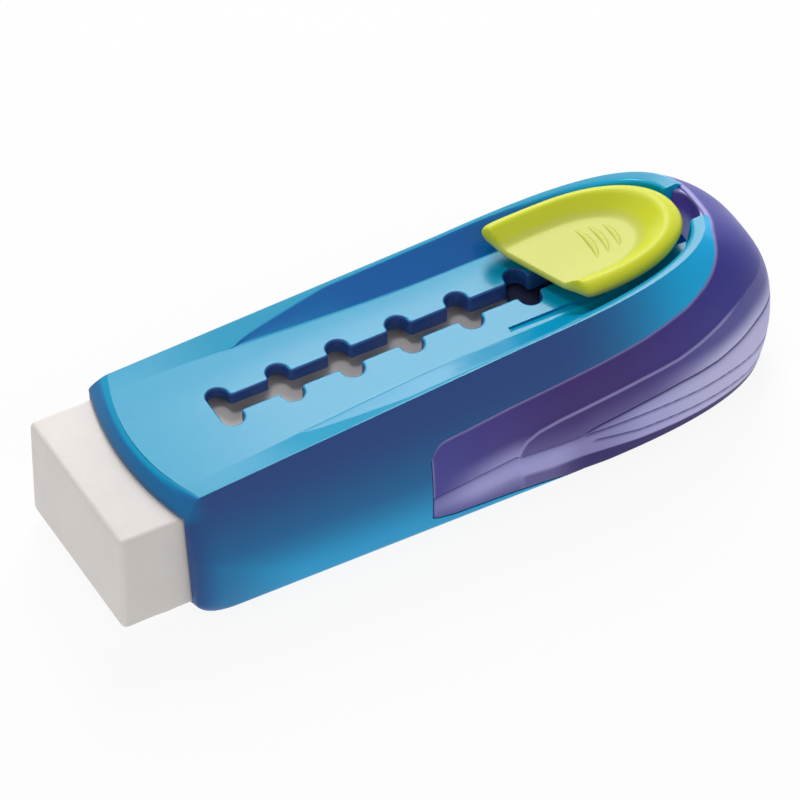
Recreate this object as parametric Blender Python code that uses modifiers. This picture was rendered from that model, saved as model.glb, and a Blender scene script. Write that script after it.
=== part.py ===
"""Slide eraser: a block eraser in a moulded case. A thumb button pushes it out and locks in a notched slot.

Sizes are in millimetres. Lengths along the case are measured from the mouth (x = 0) to the tail, y is across
and z is up from the table. The finished part is centred over the origin and stands on z = 0.
"""
import math

import bmesh
import bpy

MM = 0.001

# Eraser block and running gaps
ERASER_WIDTH = 20.0
ERASER_HEIGHT = 12.2
ERASER_SHOWING = 6.5
ERASER_ROUND = 0.5
SLIDE_GAP = 0.25
SEAT_GAP = 0.15

# Case: lengths, walls and how its sides curve
CASE_LENGTH = 71.5
TAIL_LENGTH = 32.0
BASE_THICKNESS = 0.9
ROOF_THICKNESS = 1.0
WALL_WIDE = 1.75
WIDEST_SHARE = 0.33
LEAN_FRONT = 1.95
LEAN_REAR = 2.7
SIDE_CROWN = 2.5
TAIL_LEAN = 7.4
TAIL_CROWN = 2.5
FOOT_TUCK = 0.5
FOOT_TAIL_TUCK = 1.2
FOOT_ROUND = 0.6
TAIL_SQUARENESS = 3.0
TOP_RISE_DEG = 4.1
FLOOR_RISE_DEG = 1.4

# Mouth and nose
NOSE_BEVEL_BACK = 2.5
NOSE_BEVEL_DROP = 1.6
NOSE_BOW = 2.2
MOUTH_BOW = 1.0
MOUTH_LIP = 0.35
MOUTH_ROUND = 3.0
MOUTH_DEPTH = 2.7
FOOT_RAKE = 1.6
FOOT_RAKE_HEIGHT = 1.6

# Track: floor, rails and the pocket round the button
FLOOR_WIDTH_FRONT = 15.6
FLOOR_WIDTH_REAR = 11.6
FLOOR_TAPER_END = 36.0
RAIL_START = 15.5
RAIL_FULL = 26.5
RAIL_CREST = 0.8
POCKET_END_TO_TAIL = 8.7
POCKET_DRAFT = 0.3
POCKET_WIDENS_BEHIND = 5.5
POCKET_WIDENS_RUN = 4.0
EDGE_GROOVE_WIDTH = 1.0
EDGE_GROOVE_DEPTH = 0.7
EDGE_GROOVE_AHEAD = 11.0
EDGE_GROOVE_TO_WALL = 0.3

# Notched slot
NOTCH_PITCH = 6.8
NOTCH_CLEAR_OF_MOUTH = 10.0
NOTCH_WIDTH = 5.6
NOTCH_LENGTH = 2.3
CHANNEL_WIDTH = 2.2

# Cord eye at the tail
EYE_WIDTH = 5.3
EYE_FRONT_TO_TAIL = 11.2
EYE_WALL = 1.0
EYE_BACK_WALL = 3.5
EYE_BACK_SHARE = 0.66

# Soft grip
GRIP_FRONT = 27.3
GRIP_THICKNESS = 0.85
GRIP_EDGE_THICKNESS = 0.45
SEAM_SHARE = 0.74
SEAM_FRONT_SHARE = 0.50
SEAM_FRONT_RUN = 10.0
SEAM_FRONT_SQUARENESS = 2.2
SEAM_CLIMB_FROM_TURN_DEG = 18.0
SEAM_CLIMB_OVER_TURN_DEG = 58.5
EYE_RIM_SHARE = 0.97
PARTING_FRONT_SHARE = 0.30
PARTING_REAR_SHARE = 0.355
PARTING_TAIL_SHARE = 0.43
PARTING_REAR_TURN_DEG = 27.0
PARTING_TAIL_TURN_DEG = 70.0
GRIP_FOOT_FRONT_SHARE = 0.125
GRIP_FOOT_REAR_SHARE = 0.045
GRIP_FOOT_RUN = 14.0

# Carriage
CARRIAGE_AHEAD = 5.6
CARRIAGE_WALL = 1.4
REAR_TAPER = 1.5
TONGUE_LENGTH = 2.0
TONGUE_THICKNESS = 0.7
PRONG_RADIUS = 0.9
PRONG_LENGTH = 6.0
PRONG_SPREAD = 10.0
PRONG_GAP = 0.3

# Lock spring
LEAF_WIDTH = 5.0
LEAF_THICKNESS = 0.5
LUG_GAP = 0.3
LOCK_DEPTH = 0.7

# Thumb button
BUTTON_SIDE_GAP = 1.35
BUTTON_REAR_GAP = 0.5
BUTTON_AHEAD = 5.8
BUTTON_BEHIND = 10.95
BUTTON_REAR_ROUND = 11.8
BUTTON_SIDE_RUN = 22.0
BUTTON_SQUARENESS = 2.05
BUTTON_LIFT = 1.15
BUTTON_LIP = 1.0
RIM_FRONT_HEIGHT = 2.45
RIM_REAR_HEIGHT = 2.7
NEAR_CORNER_DROP = 0.5
FRONT_SLANT_DEG = 22.2
FRONT_CORNER_SHARPNESS = 14.0
DISH_SHARE = 0.54
RIM_SHARE = 0.95
UNDERCUT_SHARE = 0.8
FRONT_UNDERCUT = 0.6
NECK_LENGTH = 3.0
NECK_GAP = 0.3
FOOT_OVERHANG = 0.45
FOOT_THICKNESS = 0.9

# Snap tabs on the base plate
TAB_COUNT = 3
TAB_LENGTH = 4.0
TAB_DEPTH = 0.4
TAB_HEIGHT = 0.5
TAB_FIRST = 9.0
TAB_PITCH = 8.0

# Mesh fineness
SIDE_STATIONS = 12
TAIL_STATIONS = 12
MOUTH_STATIONS = 8
ROUND_STATIONS = 4
LEVEL_STEPS = 8
GRIP_STEPS = 4
RING_STEPS = 12
BUTTON_STEPS = 60
MERGE_DISTANCE = 0.0005

# Sizes that follow from the ones above
half_cavity = ERASER_WIDTH / 2 + SLIDE_GAP
half_wide = half_cavity + WALL_WIDE
tail_start = CASE_LENGTH - TAIL_LENGTH
eraser_bottom = BASE_THICKNESS + SLIDE_GAP
eraser_top = eraser_bottom + ERASER_HEIGHT
tongue_bottom = eraser_top + SLIDE_GAP
tongue_top = tongue_bottom + TONGUE_THICKNESS
roof_under = tongue_top + SLIDE_GAP
floor_front = roof_under + ROOF_THICKNESS
pocket_end = CASE_LENGTH - POCKET_END_TO_TAIL
last_notch = pocket_end - BUTTON_REAR_GAP - BUTTON_BEHIND
notch_count = int((last_notch - NOTCH_CLEAR_OF_MOUTH) / NOTCH_PITCH) + 1
first_notch = last_notch - (notch_count - 1) * NOTCH_PITCH
carriage_front = last_notch - CARRIAGE_AHEAD
eraser_rear = carriage_front - SLIDE_GAP
eraser_front = -ERASER_SHOWING
eye_front = CASE_LENGTH - EYE_FRONT_TO_TAIL
cavity_rear = eye_front - EYE_WALL
carriage_rear = cavity_rear - SLIDE_GAP
plate_front = NOSE_BEVEL_BACK + FOOT_RAKE
pocket_half = half_wide - LEAN_REAR - RAIL_CREST - POCKET_DRAFT
button_half = pocket_half - BUTTON_SIDE_GAP
button_waist = last_notch + BUTTON_BEHIND - BUTTON_REAR_ROUND
centre_x = (eraser_front + CASE_LENGTH) / 2

parts = bpy.data.collections.new("slide_eraser")
cutters = bpy.data.collections.new("cutters")


def smooth_step(value):
    value = min(max(value, 0.0), 1.0)
    return value * value * (3 - 2 * value)


def mix(first, second, share):
    return first + (second - first) * share


# Mesh helpers

def new_object(name, mesh_data, collection):
    mesh = bpy.data.meshes.new(name)
    mesh_data.normal_update()
    bmesh.ops.recalc_face_normals(mesh_data, faces=mesh_data.faces)
    bmesh.ops.scale(mesh_data, vec=(MM, MM, MM), verts=mesh_data.verts)
    mesh_data.to_mesh(mesh)
    mesh_data.free()
    obj = bpy.data.objects.new(name, mesh)
    collection.objects.link(obj)
    if collection == cutters:
        obj.hide_render = True
        obj.display_type = "WIRE"
    obj.parent = case_frame
    return obj


def loft(name, rings, collection):
    """A closed solid through rings of equal point counts, capped at both ends. Rings may share points."""
    data = bmesh.new()
    rows = [[data.verts.new(point) for point in ring] for ring in rings]
    for lower, upper in zip(rows[:-1], rows[1:]):
        for i in range(len(lower)):
            j = (i + 1) % len(lower)
            data.faces.new((lower[i], lower[j], upper[j], upper[i]))
    data.faces.new(list(reversed(rows[0])))
    data.faces.new(rows[-1])
    bmesh.ops.remove_doubles(data, verts=data.verts, dist=MERGE_DISTANCE)
    return new_object(name, data, collection)


def box(name, low, high, collection):
    data = bmesh.new()
    bmesh.ops.create_cube(data, size=1.0)
    for vert in data.verts:
        vert.co = [mix(low[k], high[k], vert.co[k] + 0.5) for k in range(3)]
    return new_object(name, data, collection)


def rod(name, start, length, radius, collection):
    """A round rod from a start point towards -X."""
    data = bmesh.new()
    bmesh.ops.create_cone(data, cap_ends=True, segments=16, radius1=radius, radius2=radius, depth=length)
    for vert in data.verts:
        x, y, z = vert.co
        vert.co = (start[0] - length / 2 + z, start[1] + y, start[2] + x)
    return new_object(name, data, collection)


def combine(obj, other, operation):
    boolean = obj.modifiers.new(other.name, "BOOLEAN")
    boolean.operation = operation
    boolean.object = other


def plastic(name, colour, roughness):
    material = bpy.data.materials.new(name)
    material.use_nodes = True
    shader = material.node_tree.nodes["Principled BSDF"]
    shader.inputs["Base Color"].default_value = (*colour, 1.0)
    shader.inputs["Roughness"].default_value = roughness
    shader.inputs["Metallic"].default_value = 0.0
    return material


def smooth(obj, angle_deg):
    obj.data.shade_smooth()
    obj.data.set_sharp_from_angle(angle=math.radians(angle_deg))


def hang_from(obj, empty):
    """Parents a piece to an empty on its joint without moving it."""
    obj.parent = empty
    while empty != case_frame:
        obj.location -= empty.location
        empty = empty.parent


# Outer surface of the case

def top_z(x):
    """Height of the rail's outer edge, rising from the nose and level round the tail."""
    run = min(max(x, 0.0), pocket_end) - NOSE_BEVEL_BACK
    return floor_front + math.tan(math.radians(TOP_RISE_DEG)) * run


def floor_z(x):
    return floor_front + math.tan(math.radians(FLOOR_RISE_DEG)) * (x - NOSE_BEVEL_BACK)


def bevel_share(level):
    """0 below the nose bevel and 1 at its upper edge."""
    height = level * top_z(0.0)
    return min(max(0.0, 1 - (top_z(0.0) - height) / NOSE_BEVEL_DROP), 1.0)


def front_x(level):
    """Where the front starts at a level: raked at the foot, bevelled at the nose."""
    rake = max(0.0, 1 - level * top_z(0.0) / FOOT_RAKE_HEIGHT) ** 2
    return NOSE_BEVEL_BACK * bevel_share(level) + FOOT_RAKE * rake


def side_shape(level):
    """Half widths at the mouth and at the tail's start and the tail's reach, at a share of the height."""
    if level < WIDEST_SHARE:
        tuck = ((WIDEST_SHARE - level) / WIDEST_SHARE) ** 2
        half = half_wide - FOOT_TUCK * tuck
        return half, half, CASE_LENGTH - FOOT_TAIL_TUCK * tuck
    up = (level - WIDEST_SHARE) / (1 - WIDEST_SHARE)
    lean = up ** SIDE_CROWN
    reach = CASE_LENGTH - TAIL_LEAN * up ** TAIL_CROWN
    return half_wide - LEAN_FRONT * lean, half_wide - LEAN_REAR * lean, reach


def swept(t, start, half_front, half_rear, reach):
    """x and half width along a side: t runs 0 to 1 along the straight and 1 to 2 round the tail."""
    if t <= 1:
        return mix(start, tail_start, t), mix(half_front, half_rear, t)
    turn = (t - 1) * math.pi / 2
    power = 2 / TAIL_SQUARENESS
    return (
        tail_start + (reach - tail_start) * math.sin(turn) ** power,
        half_rear * max(math.cos(turn), 0.0) ** power,
    )


def side_point(t, level, inset=0.0):
    """A point on the outer side, at y >= 0."""
    half_front, half_rear, reach = side_shape(level)
    start = front_x(level)
    x, y = swept(t, start + inset, half_front - inset, half_rear - inset, reach - inset)
    to_go = max(0.0, 1 - (x - start - inset) / MOUTH_ROUND)
    drawn_in = max(0.0, half_front - half_cavity - MOUTH_LIP)
    y -= drawn_in * (1 - math.sqrt(1 - to_go ** 2))
    return x, y, level * top_z(x)


def stations():
    """Values of t along a side, closer together round the mouth's corner."""
    corner = MOUTH_ROUND / tail_start
    rounding = [corner * (1 - math.cos(math.pi / 2 * i / ROUND_STATIONS)) for i in range(ROUND_STATIONS)]
    straight = [mix(corner, 1.0, i / SIDE_STATIONS) for i in range(SIDE_STATIONS)]
    return rounding + straight + [1 + i / TAIL_STATIONS for i in range(TAIL_STATIONS + 1)]


def whole_ring(side, bow, height):
    """Closes a far-side run of points with its mirror image and a bowed front at a height for each x."""
    near = [(x, -y, z) for x, y, z in side]
    x0, half, _ = side[0]
    front = []
    for i in range(1, MOUTH_STATIONS):
        y = mix(-half, half, i / MOUTH_STATIONS)
        x = x0 - bow * (1 - (y / half) ** 2)
        front.append((x, y, height(x)))
    return near + list(reversed(side[:-1])) + list(reversed(front))


def outer_ring(level, inset=0.0):
    bow = mix(MOUTH_BOW, NOSE_BOW, bevel_share(level))
    side = [side_point(t, level, inset) for t in stations()]
    return whole_ring(side, bow, lambda x: level * top_z(x))


# Track recess on top of the case

def floor_half(x):
    share = smooth_step(x / FLOOR_TAPER_END)
    return mix(FLOOR_WIDTH_FRONT, FLOOR_WIDTH_REAR, share) / 2


def track_ring():
    """Edge of the track floor, widening to a pocket round the button."""
    end = pocket_end - POCKET_DRAFT
    side = []
    for t in stations():
        x, narrow = swept(t, NOSE_BEVEL_BACK, 0.0, FLOOR_WIDTH_REAR / 2, end)
        wide = swept(t, NOSE_BEVEL_BACK, 0.0, pocket_half, end)[1]
        widened = smooth_step((x - last_notch + POCKET_WIDENS_BEHIND) / POCKET_WIDENS_RUN)
        side.append((x, mix(narrow, wide, widened) if t > 1 else floor_half(x), floor_z(x)))
    return side


def rail_ring():
    """Upper edge of the rail walls: it leaves the floor at one place and nears the outer edge at another."""
    half_front, half_rear, _ = side_shape(1.0)
    slope = (top_z(RAIL_START) - floor_z(RAIL_START)) / (half_front - floor_half(RAIL_START))
    side = []
    for t in stations():
        x, y = swept(t, NOSE_BEVEL_BACK, half_front - RAIL_CREST, half_rear - RAIL_CREST, pocket_end)
        if t <= 1:
            y = mix(floor_half(x), y, smooth_step((x - RAIL_START) / (RAIL_FULL - RAIL_START)))
            outer = mix(half_front, half_rear, t)
            z = max(floor_z(x), top_z(x) - slope * (outer - y))
        else:
            z = top_z(x) - slope * RAIL_CREST
        side.append((x, y, z))
    return side


def case_solid():
    foot = FOOT_ROUND / floor_front
    levels = [mix(foot, WIDEST_SHARE, i / 3) for i in range(3)]
    levels += [mix(WIDEST_SHARE, 1.0, i / LEVEL_STEPS) for i in range(LEVEL_STEPS)]
    levels += [1 - NOSE_BEVEL_DROP / top_z(0.0), 1.0]
    rings = [outer_ring(0.0, FOOT_ROUND)] + [outer_ring(level) for level in sorted(levels)]
    rings += [whole_ring(side, NOSE_BOW, floor_z) for side in (rail_ring(), track_ring())]
    return loft("case_shell", rings, parts)


def slot_outline():
    """The channel with all its notches as one outline."""
    half = CHANNEL_WIDTH / 2
    far = []
    for i in range(notch_count):
        notch = notch_outline(first_notch + i * NOTCH_PITCH, 0.0, 0.0)
        round_end = [(x, y) for x, y, _ in reversed(notch[:len(notch) // 2])]
        far += ([(round_end[0][0], half)] if i else []) + round_end + [(round_end[-1][0], half)]
    far.append((last_notch + NOTCH_LENGTH / 2 + NECK_GAP + NECK_LENGTH + NECK_GAP, half))
    return far + [(x, -y) for x, y in reversed(far)]


def notch_outline(centre, gap, z):
    """A notch's outline: a bar across the channel with round ends."""
    radius = NOTCH_LENGTH / 2 - gap
    reach = NOTCH_WIDTH / 2 - gap - radius
    points = []
    for end in (1, -1):
        for i in range(RING_STEPS // 2 + 1):
            turn = math.pi * i / (RING_STEPS // 2)
            x, y = radius * math.cos(turn), reach + radius * math.sin(turn)
            points.append((centre + end * x, end * y, z))
    return points


def slab(name, front, gap, low, high, collection):
    """A flat block in the cavity's plan from a front line back, less a gap, with tapered rear corners."""
    half = half_cavity - gap
    rear = cavity_rear - gap
    plan = [(front, -half), (last_notch, -half), (rear, REAR_TAPER - half)]
    plan += [(x, -y) for x, y in reversed(plan)]
    return loft(name, [[(x, y, z) for x, y in plan] for z in (low, high)], collection)


def case_shell():
    case = case_solid()
    past_front = -MOUTH_BOW - NOSE_BEVEL_BACK
    mouth_roof = eraser_top + SLIDE_GAP
    combine(case, slab("mouth", past_front, 0.0, BASE_THICKNESS, mouth_roof, cutters), "DIFFERENCE")
    combine(case, slab("cavity", MOUTH_DEPTH, 0.0, BASE_THICKNESS, roof_under, cutters), "DIFFERENCE")
    past_base = 2 * BASE_THICKNESS
    opening = slab("plate_opening", plate_front - SEAT_GAP, 0.0, -past_base, past_base, cutters)
    combine(case, opening, "DIFFERENCE")
    slot_levels = (roof_under - ROOF_THICKNESS, top_z(CASE_LENGTH) + ROOF_THICKNESS)
    slot = loft("slot", [[(x, y, z) for x, y in slot_outline()] for z in slot_levels], cutters)
    combine(case, slot, "DIFFERENCE")
    groove_edge = EDGE_GROOVE_TO_WALL - FLOOR_WIDTH_REAR / 2
    groove_x = last_notch - EDGE_GROOVE_AHEAD
    groove_low = (groove_x, groove_edge, floor_z(groove_x) - EDGE_GROOVE_DEPTH)
    groove_high = (last_notch, groove_edge + EDGE_GROOVE_WIDTH, top_z(CASE_LENGTH))
    combine(case, box("edge_groove", groove_low, groove_high, cutters), "DIFFERENCE")
    eye_low = (eye_front, -EYE_WIDTH / 2, -BASE_THICKNESS)
    eye_high = (CASE_LENGTH - EYE_BACK_WALL, EYE_WIDTH / 2, top_z(CASE_LENGTH) + BASE_THICKNESS)
    combine(case, box("cord_eye", eye_low, eye_high, cutters), "DIFFERENCE")
    gap_low = (pocket_end, -EYE_WIDTH / 2, EYE_BACK_SHARE * top_z(CASE_LENGTH))
    gap_high = (CASE_LENGTH + EYE_WALL, EYE_WIDTH / 2, eye_high[2] + BASE_THICKNESS)
    combine(case, box("rail_gap", gap_low, gap_high, cutters), "DIFFERENCE")
    combine(case, grip_shell("grip_recess", cutters, SEAT_GAP), "DIFFERENCE")
    for i, low_high in enumerate(tab_boxes(SEAT_GAP)):
        combine(case, box("tab_recess_%d" % (i + 1), *low_high, cutters), "DIFFERENCE")
    case.data.materials.append(plastic("glossy_blue", (0.0, 0.23, 0.56), 0.18))
    smooth(case, 30)
    return case


# Base plate

def tab_boxes(gap):
    half = half_cavity - SEAT_GAP
    boxes = []
    for i in range(TAB_COUNT):
        x = TAB_FIRST + i * TAB_PITCH
        for side in (1, -1):
            edges = sorted((side * (half - TAB_DEPTH), side * (half + SEAT_GAP + TAB_DEPTH + gap)))
            low = (x - gap, edges[0], BASE_THICKNESS - TAB_HEIGHT - gap)
            high = (x + TAB_LENGTH + gap, edges[1], BASE_THICKNESS + (gap if gap else -SEAT_GAP))
            boxes.append((low, high))
    return boxes


def base_plate():
    plate = slab("base_plate", plate_front, SEAT_GAP, 0.0, BASE_THICKNESS - SEAT_GAP, parts)
    for i, low_high in enumerate(tab_boxes(0.0)):
        combine(plate, box("tab_%d" % (i + 1), *low_high, cutters), "UNION")
    plate.data.materials.append(plastic("satin_blue", (0.0, 0.2, 0.5), 0.35))
    return plate


# Soft grip: a shell over the tail and both sides, split along its parting line

def turn_share(t, first_deg, over_deg):
    """How far round the tail t has come between two turns, eased at both ends."""
    return smooth_step(((t - 1) * 90 - first_deg) / over_deg)


def seam_level(t):
    """Upper border of the grip: a round corner at the front, then a line that climbs to the eye."""
    run = (side_point(t, SEAM_SHARE)[0] - GRIP_FRONT) / SEAM_FRONT_RUN
    to_go = 1 - min(max(run, 0.0), 1.0)
    corner = (1 - to_go ** SEAM_FRONT_SQUARENESS) ** (1 / SEAM_FRONT_SQUARENESS)
    climb = turn_share(t, SEAM_CLIMB_FROM_TURN_DEG, SEAM_CLIMB_OVER_TURN_DEG)
    return mix(mix(SEAM_FRONT_SHARE, SEAM_SHARE, corner), EYE_RIM_SHARE, climb)


def parting_level(t):
    """Line between the two halves of the grip, rising in two steps towards the tail."""
    level = mix(PARTING_FRONT_SHARE, PARTING_REAR_SHARE, turn_share(t, 0.0, PARTING_REAR_TURN_DEG))
    left = PARTING_TAIL_TURN_DEG - PARTING_REAR_TURN_DEG
    return mix(level, PARTING_TAIL_SHARE, turn_share(t, PARTING_REAR_TURN_DEG, left))


def foot_level(t):
    run = (side_point(t, GRIP_FOOT_FRONT_SHARE)[0] - GRIP_FRONT) / GRIP_FOOT_RUN
    return mix(GRIP_FOOT_FRONT_SHARE, GRIP_FOOT_REAR_SHARE, smooth_step(run))


def grip_stations():
    """Values of t from the grip's front edge to the middle of the tail."""
    first = GRIP_FRONT / tail_start
    straight = [mix(first, 1.0, (i / SIDE_STATIONS) ** 1.5) for i in range(SIDE_STATIONS)]
    return straight + [1 + i / TAIL_STATIONS for i in range(TAIL_STATIONS + 1)]


def grip_depth(level):
    """Thickness of the grip: full at its foot and thin at the seam."""
    thinned = smooth_step((level - WIDEST_SHARE) / (SEAM_SHARE - WIDEST_SHARE))
    return mix(GRIP_THICKNESS, GRIP_EDGE_THICKNESS, thinned)


def grip_band(name, collection, lower, upper, gap):
    """The grip between two level lines: a bent bar from the far front edge round the tail to the near one."""
    proud = 2 * GRIP_THICKNESS if gap else 0.0
    rings = []
    for t in grip_stations():
        low, high = lower(t) - gap / floor_front, upper(t) + gap / floor_front
        levels = [mix(low, high, i / GRIP_STEPS) for i in range(GRIP_STEPS + 1)]
        outside = [side_point(t, level, -proud) for level in levels]
        inside = [side_point(t, level, grip_depth(level) + gap) for level in levels]
        rings.append(outside + list(reversed(inside)))
    if gap:
        rings[0] = [(x - gap, y, z) for x, y, z in rings[0]]
    near = [[(x, -y, z) for x, y, z in ring] for ring in reversed(rings[:-1])]
    return loft(name, rings + near, collection)


def grip_shell(name, collection, gap):
    return grip_band(name, collection, foot_level, seam_level, gap)


def half_parting(side):
    return lambda t: parting_level(t) + side * SEAT_GAP / 2 / floor_front


def grips():
    upper = grip_band("grip_upper", parts, half_parting(1), seam_level, 0.0)
    lower = grip_band("grip_lower", parts, foot_level, half_parting(-1), 0.0)
    soft = plastic("soft_purple", (0.07, 0.04, 0.24), 0.45)
    for grip in (upper, lower):
        grip.data.materials.append(soft.copy())
        smooth(grip, 40)
    return upper, lower


# Eraser, carriage and lock spring

def prong_places():
    middle = (eraser_bottom + eraser_top) / 2
    return [(carriage_front, side * PRONG_SPREAD / 2, middle) for side in (1, -1)]


def eraser():
    half = ERASER_WIDTH / 2
    block = box("eraser", (eraser_front, -half, eraser_bottom), (eraser_rear, half, eraser_top), parts)
    bevel = block.modifiers.new("soft_edges", "BEVEL")
    bevel.width = ERASER_ROUND * MM
    bevel.segments = 3
    for i, place in enumerate(prong_places()):
        depth = PRONG_LENGTH + PRONG_GAP + SLIDE_GAP
        hole = rod("prong_hole_%d" % (i + 1), place, depth, PRONG_RADIUS + PRONG_GAP, cutters)
        combine(block, hole, "DIFFERENCE")
    block.data.materials.append(plastic("white_vinyl", (0.78, 0.75, 0.73), 0.6))
    smooth(block, 40)
    return block


def pocket_corners(gap):
    """Plan corners of the opening in the carriage's top that takes the lug and the button's foot."""
    half = max(LEAF_WIDTH, NOTCH_WIDTH) / 2 + SLIDE_GAP + gap
    front = last_notch - NOTCH_LENGTH / 2 - SLIDE_GAP - gap
    rear = last_notch + NOTCH_LENGTH / 2 + NECK_GAP + NECK_LENGTH + SLIDE_GAP + gap
    return (front, -half), (rear, half)


def leaf_levels():
    """Bottom and top of the leaf, just under the button's foot."""
    top = roof_under - SLIDE_GAP - FOOT_THICKNESS - SLIDE_GAP
    return top - LEAF_THICKNESS, top


def carriage():
    half = half_cavity - SLIDE_GAP
    wall = CARRIAGE_WALL
    body = slab("carriage", carriage_front, SLIDE_GAP, eraser_bottom, tongue_top, parts)
    leaf_low, leaf_high = leaf_levels()
    (pocket_x0, pocket_y0), (pocket_x1, pocket_y1) = pocket_corners(0.0)
    hollow_low = (carriage_front + wall, wall - half, eraser_bottom - wall)
    hollow_high = (carriage_rear - wall, half - wall, leaf_high + SEAT_GAP)
    combine(body, box("carriage_hollow", hollow_low, hollow_high, cutters), "DIFFERENCE")
    pocket_low, pocket_high = (pocket_x0, pocket_y0, leaf_low), (pocket_x1, pocket_y1, tongue_top + wall)
    combine(body, box("lug_opening", pocket_low, pocket_high, cutters), "DIFFERENCE")
    tongue_low = (carriage_front - TONGUE_LENGTH, -half, tongue_bottom)
    tongue_high = (carriage_front + wall / 2, half, tongue_top)
    combine(body, box("tongue", tongue_low, tongue_high, cutters), "UNION")
    shelf_low = (carriage_rear - 2 * wall, -LEAF_WIDTH, leaf_low - SEAT_GAP - wall)
    shelf_high = (carriage_rear - wall / 2, LEAF_WIDTH, leaf_low - SEAT_GAP)
    combine(body, box("leaf_shelf", shelf_low, shelf_high, cutters), "UNION")
    for i, (x, y, z) in enumerate(prong_places()):
        start, length = (x + wall / 2, y, z), PRONG_LENGTH + wall / 2
        prong = rod("prong_%d" % (i + 1), start, length, PRONG_RADIUS, cutters)
        combine(body, prong, "UNION")
    body.data.materials.append(plastic("dark_plastic", (0.02, 0.02, 0.06), 0.4))
    smooth(body, 40)
    return body


def lock_spring():
    leaf_low, leaf_high = leaf_levels()
    half = LEAF_WIDTH / 2
    front = last_notch - NOTCH_LENGTH / 2
    rear = carriage_rear - CARRIAGE_WALL - SEAT_GAP
    leaf = box("lock_spring", (front, -half, leaf_low), (rear, half, leaf_high), parts)
    heights = (leaf_low + LEAF_THICKNESS / 2, roof_under + LOCK_DEPTH)
    lug = loft("lug", [notch_outline(last_notch, LUG_GAP, z) for z in heights], cutters)
    combine(leaf, lug, "UNION")
    leaf.data.materials.append(plastic("spring_plastic", (0.6, 0.62, 0.6), 0.35))
    smooth(leaf, 40)
    return leaf


# Thumb button

def button_ring(share, front_inset):
    """A ring of the button from above: a rounded bowl shrunk to a share, trimmed by the slanted front."""
    slant = math.radians(FRONT_SLANT_DEG)
    ahead = (button_waist - last_notch + BUTTON_AHEAD) * math.cos(slant) - front_inset
    sharpness = FRONT_CORNER_SHARPNESS
    points = []
    for i in range(BUTTON_STEPS):
        turn = 2 * math.pi * i / BUTTON_STEPS
        along, across = math.cos(turn), math.sin(turn)
        bowl = bowl_share(button_waist + along, across) / share
        facing = max(0.0, -along * math.cos(slant) - across * math.sin(slant)) / ahead
        radius = (bowl ** sharpness + facing ** sharpness) ** (-1 / sharpness)
        points.append((button_waist + radius * along, radius * across))
    return points


def bowl_share(x, y):
    """How far out a point lies in the bowl: 0 at its waist's centre and 1 at its outer edge."""
    run = BUTTON_REAR_ROUND if x > button_waist else BUTTON_SIDE_RUN
    along, across = abs((x - button_waist) / run), abs(y / button_half)
    return (along ** BUTTON_SQUARENESS + across ** BUTTON_SQUARENESS) ** (1 / BUTTON_SQUARENESS)


def bowl_height(x, y):
    """Height of the button's upper face over its underside: a flat dish with walls that rise to the rim."""
    back = (x - last_notch + BUTTON_AHEAD) / (BUTTON_BEHIND + BUTTON_AHEAD)
    rim = mix(RIM_FRONT_HEIGHT, RIM_REAR_HEIGHT, min(max(back, 0.0), 1.0))
    rim -= NEAR_CORNER_DROP * smooth_step(-y / button_half) * smooth_step(1 - back)
    wall = (bowl_share(x, y) - DISH_SHARE) / (RIM_SHARE - DISH_SHARE)
    return mix(BUTTON_LIP, rim, min(max(wall, 0.0), 1.0))


def thumb_button():
    bottom = floor_z(last_notch) + BUTTON_LIFT

    def on_side(share, front_inset, part):
        outer = button_ring(1.0, 0.0)
        ring = button_ring(share, front_inset)
        return [(x, y, bottom + part * bowl_height(*edge)) for (x, y), edge in zip(ring, outer)]

    def on_top(share, front_inset):
        return [(x, y, bottom + bowl_height(x, y)) for x, y in button_ring(share, front_inset)]

    rings = [
        on_side(UNDERCUT_SHARE, FRONT_UNDERCUT, 0.0),
        on_side(mix(UNDERCUT_SHARE, 1.0, 0.6), FRONT_UNDERCUT / 3, 0.15),
        on_side(1.0, 0.0, 0.5),
        on_side(1.0, 0.0, 0.85),
        on_top(mix(RIM_SHARE, 1.0, 0.4), FRONT_UNDERCUT / 4),
        on_top(mix(DISH_SHARE, RIM_SHARE, 0.8), FRONT_UNDERCUT / 3),
        on_top(mix(DISH_SHARE, RIM_SHARE, 0.4), FRONT_UNDERCUT / 2),
        on_top(DISH_SHARE, FRONT_UNDERCUT),
    ]
    button = loft("thumb_button", rings, parts)
    neck_x0 = last_notch + NOTCH_LENGTH / 2 + NECK_GAP
    neck_half = CHANNEL_WIDTH / 2 - NECK_GAP
    foot_top = roof_under - SLIDE_GAP
    neck_low = (neck_x0, -neck_half, foot_top - FOOT_THICKNESS / 2)
    neck_high = (neck_x0 + NECK_LENGTH, neck_half, bottom + BUTTON_LIP / 2)
    combine(button, box("neck", neck_low, neck_high, cutters), "UNION")
    foot_half = CHANNEL_WIDTH / 2 + FOOT_OVERHANG
    foot_low = (neck_x0, -foot_half, foot_top - FOOT_THICKNESS)
    combine(button, box("foot", foot_low, (neck_x0 + NECK_LENGTH, foot_half, foot_top), cutters), "UNION")
    button.data.materials.append(plastic("lime", (0.62, 0.68, 0.05), 0.35))
    smooth(button, 40)
    return button


def empty_at(name, place):
    empty = bpy.data.objects.new(name, None)
    empty.location = [value * MM for value in place]
    parts.objects.link(empty)
    return empty


for old in list(bpy.data.objects):
    bpy.data.objects.remove(old, do_unlink=True)
for collection in (parts, cutters):
    bpy.context.scene.collection.children.link(collection)

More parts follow.
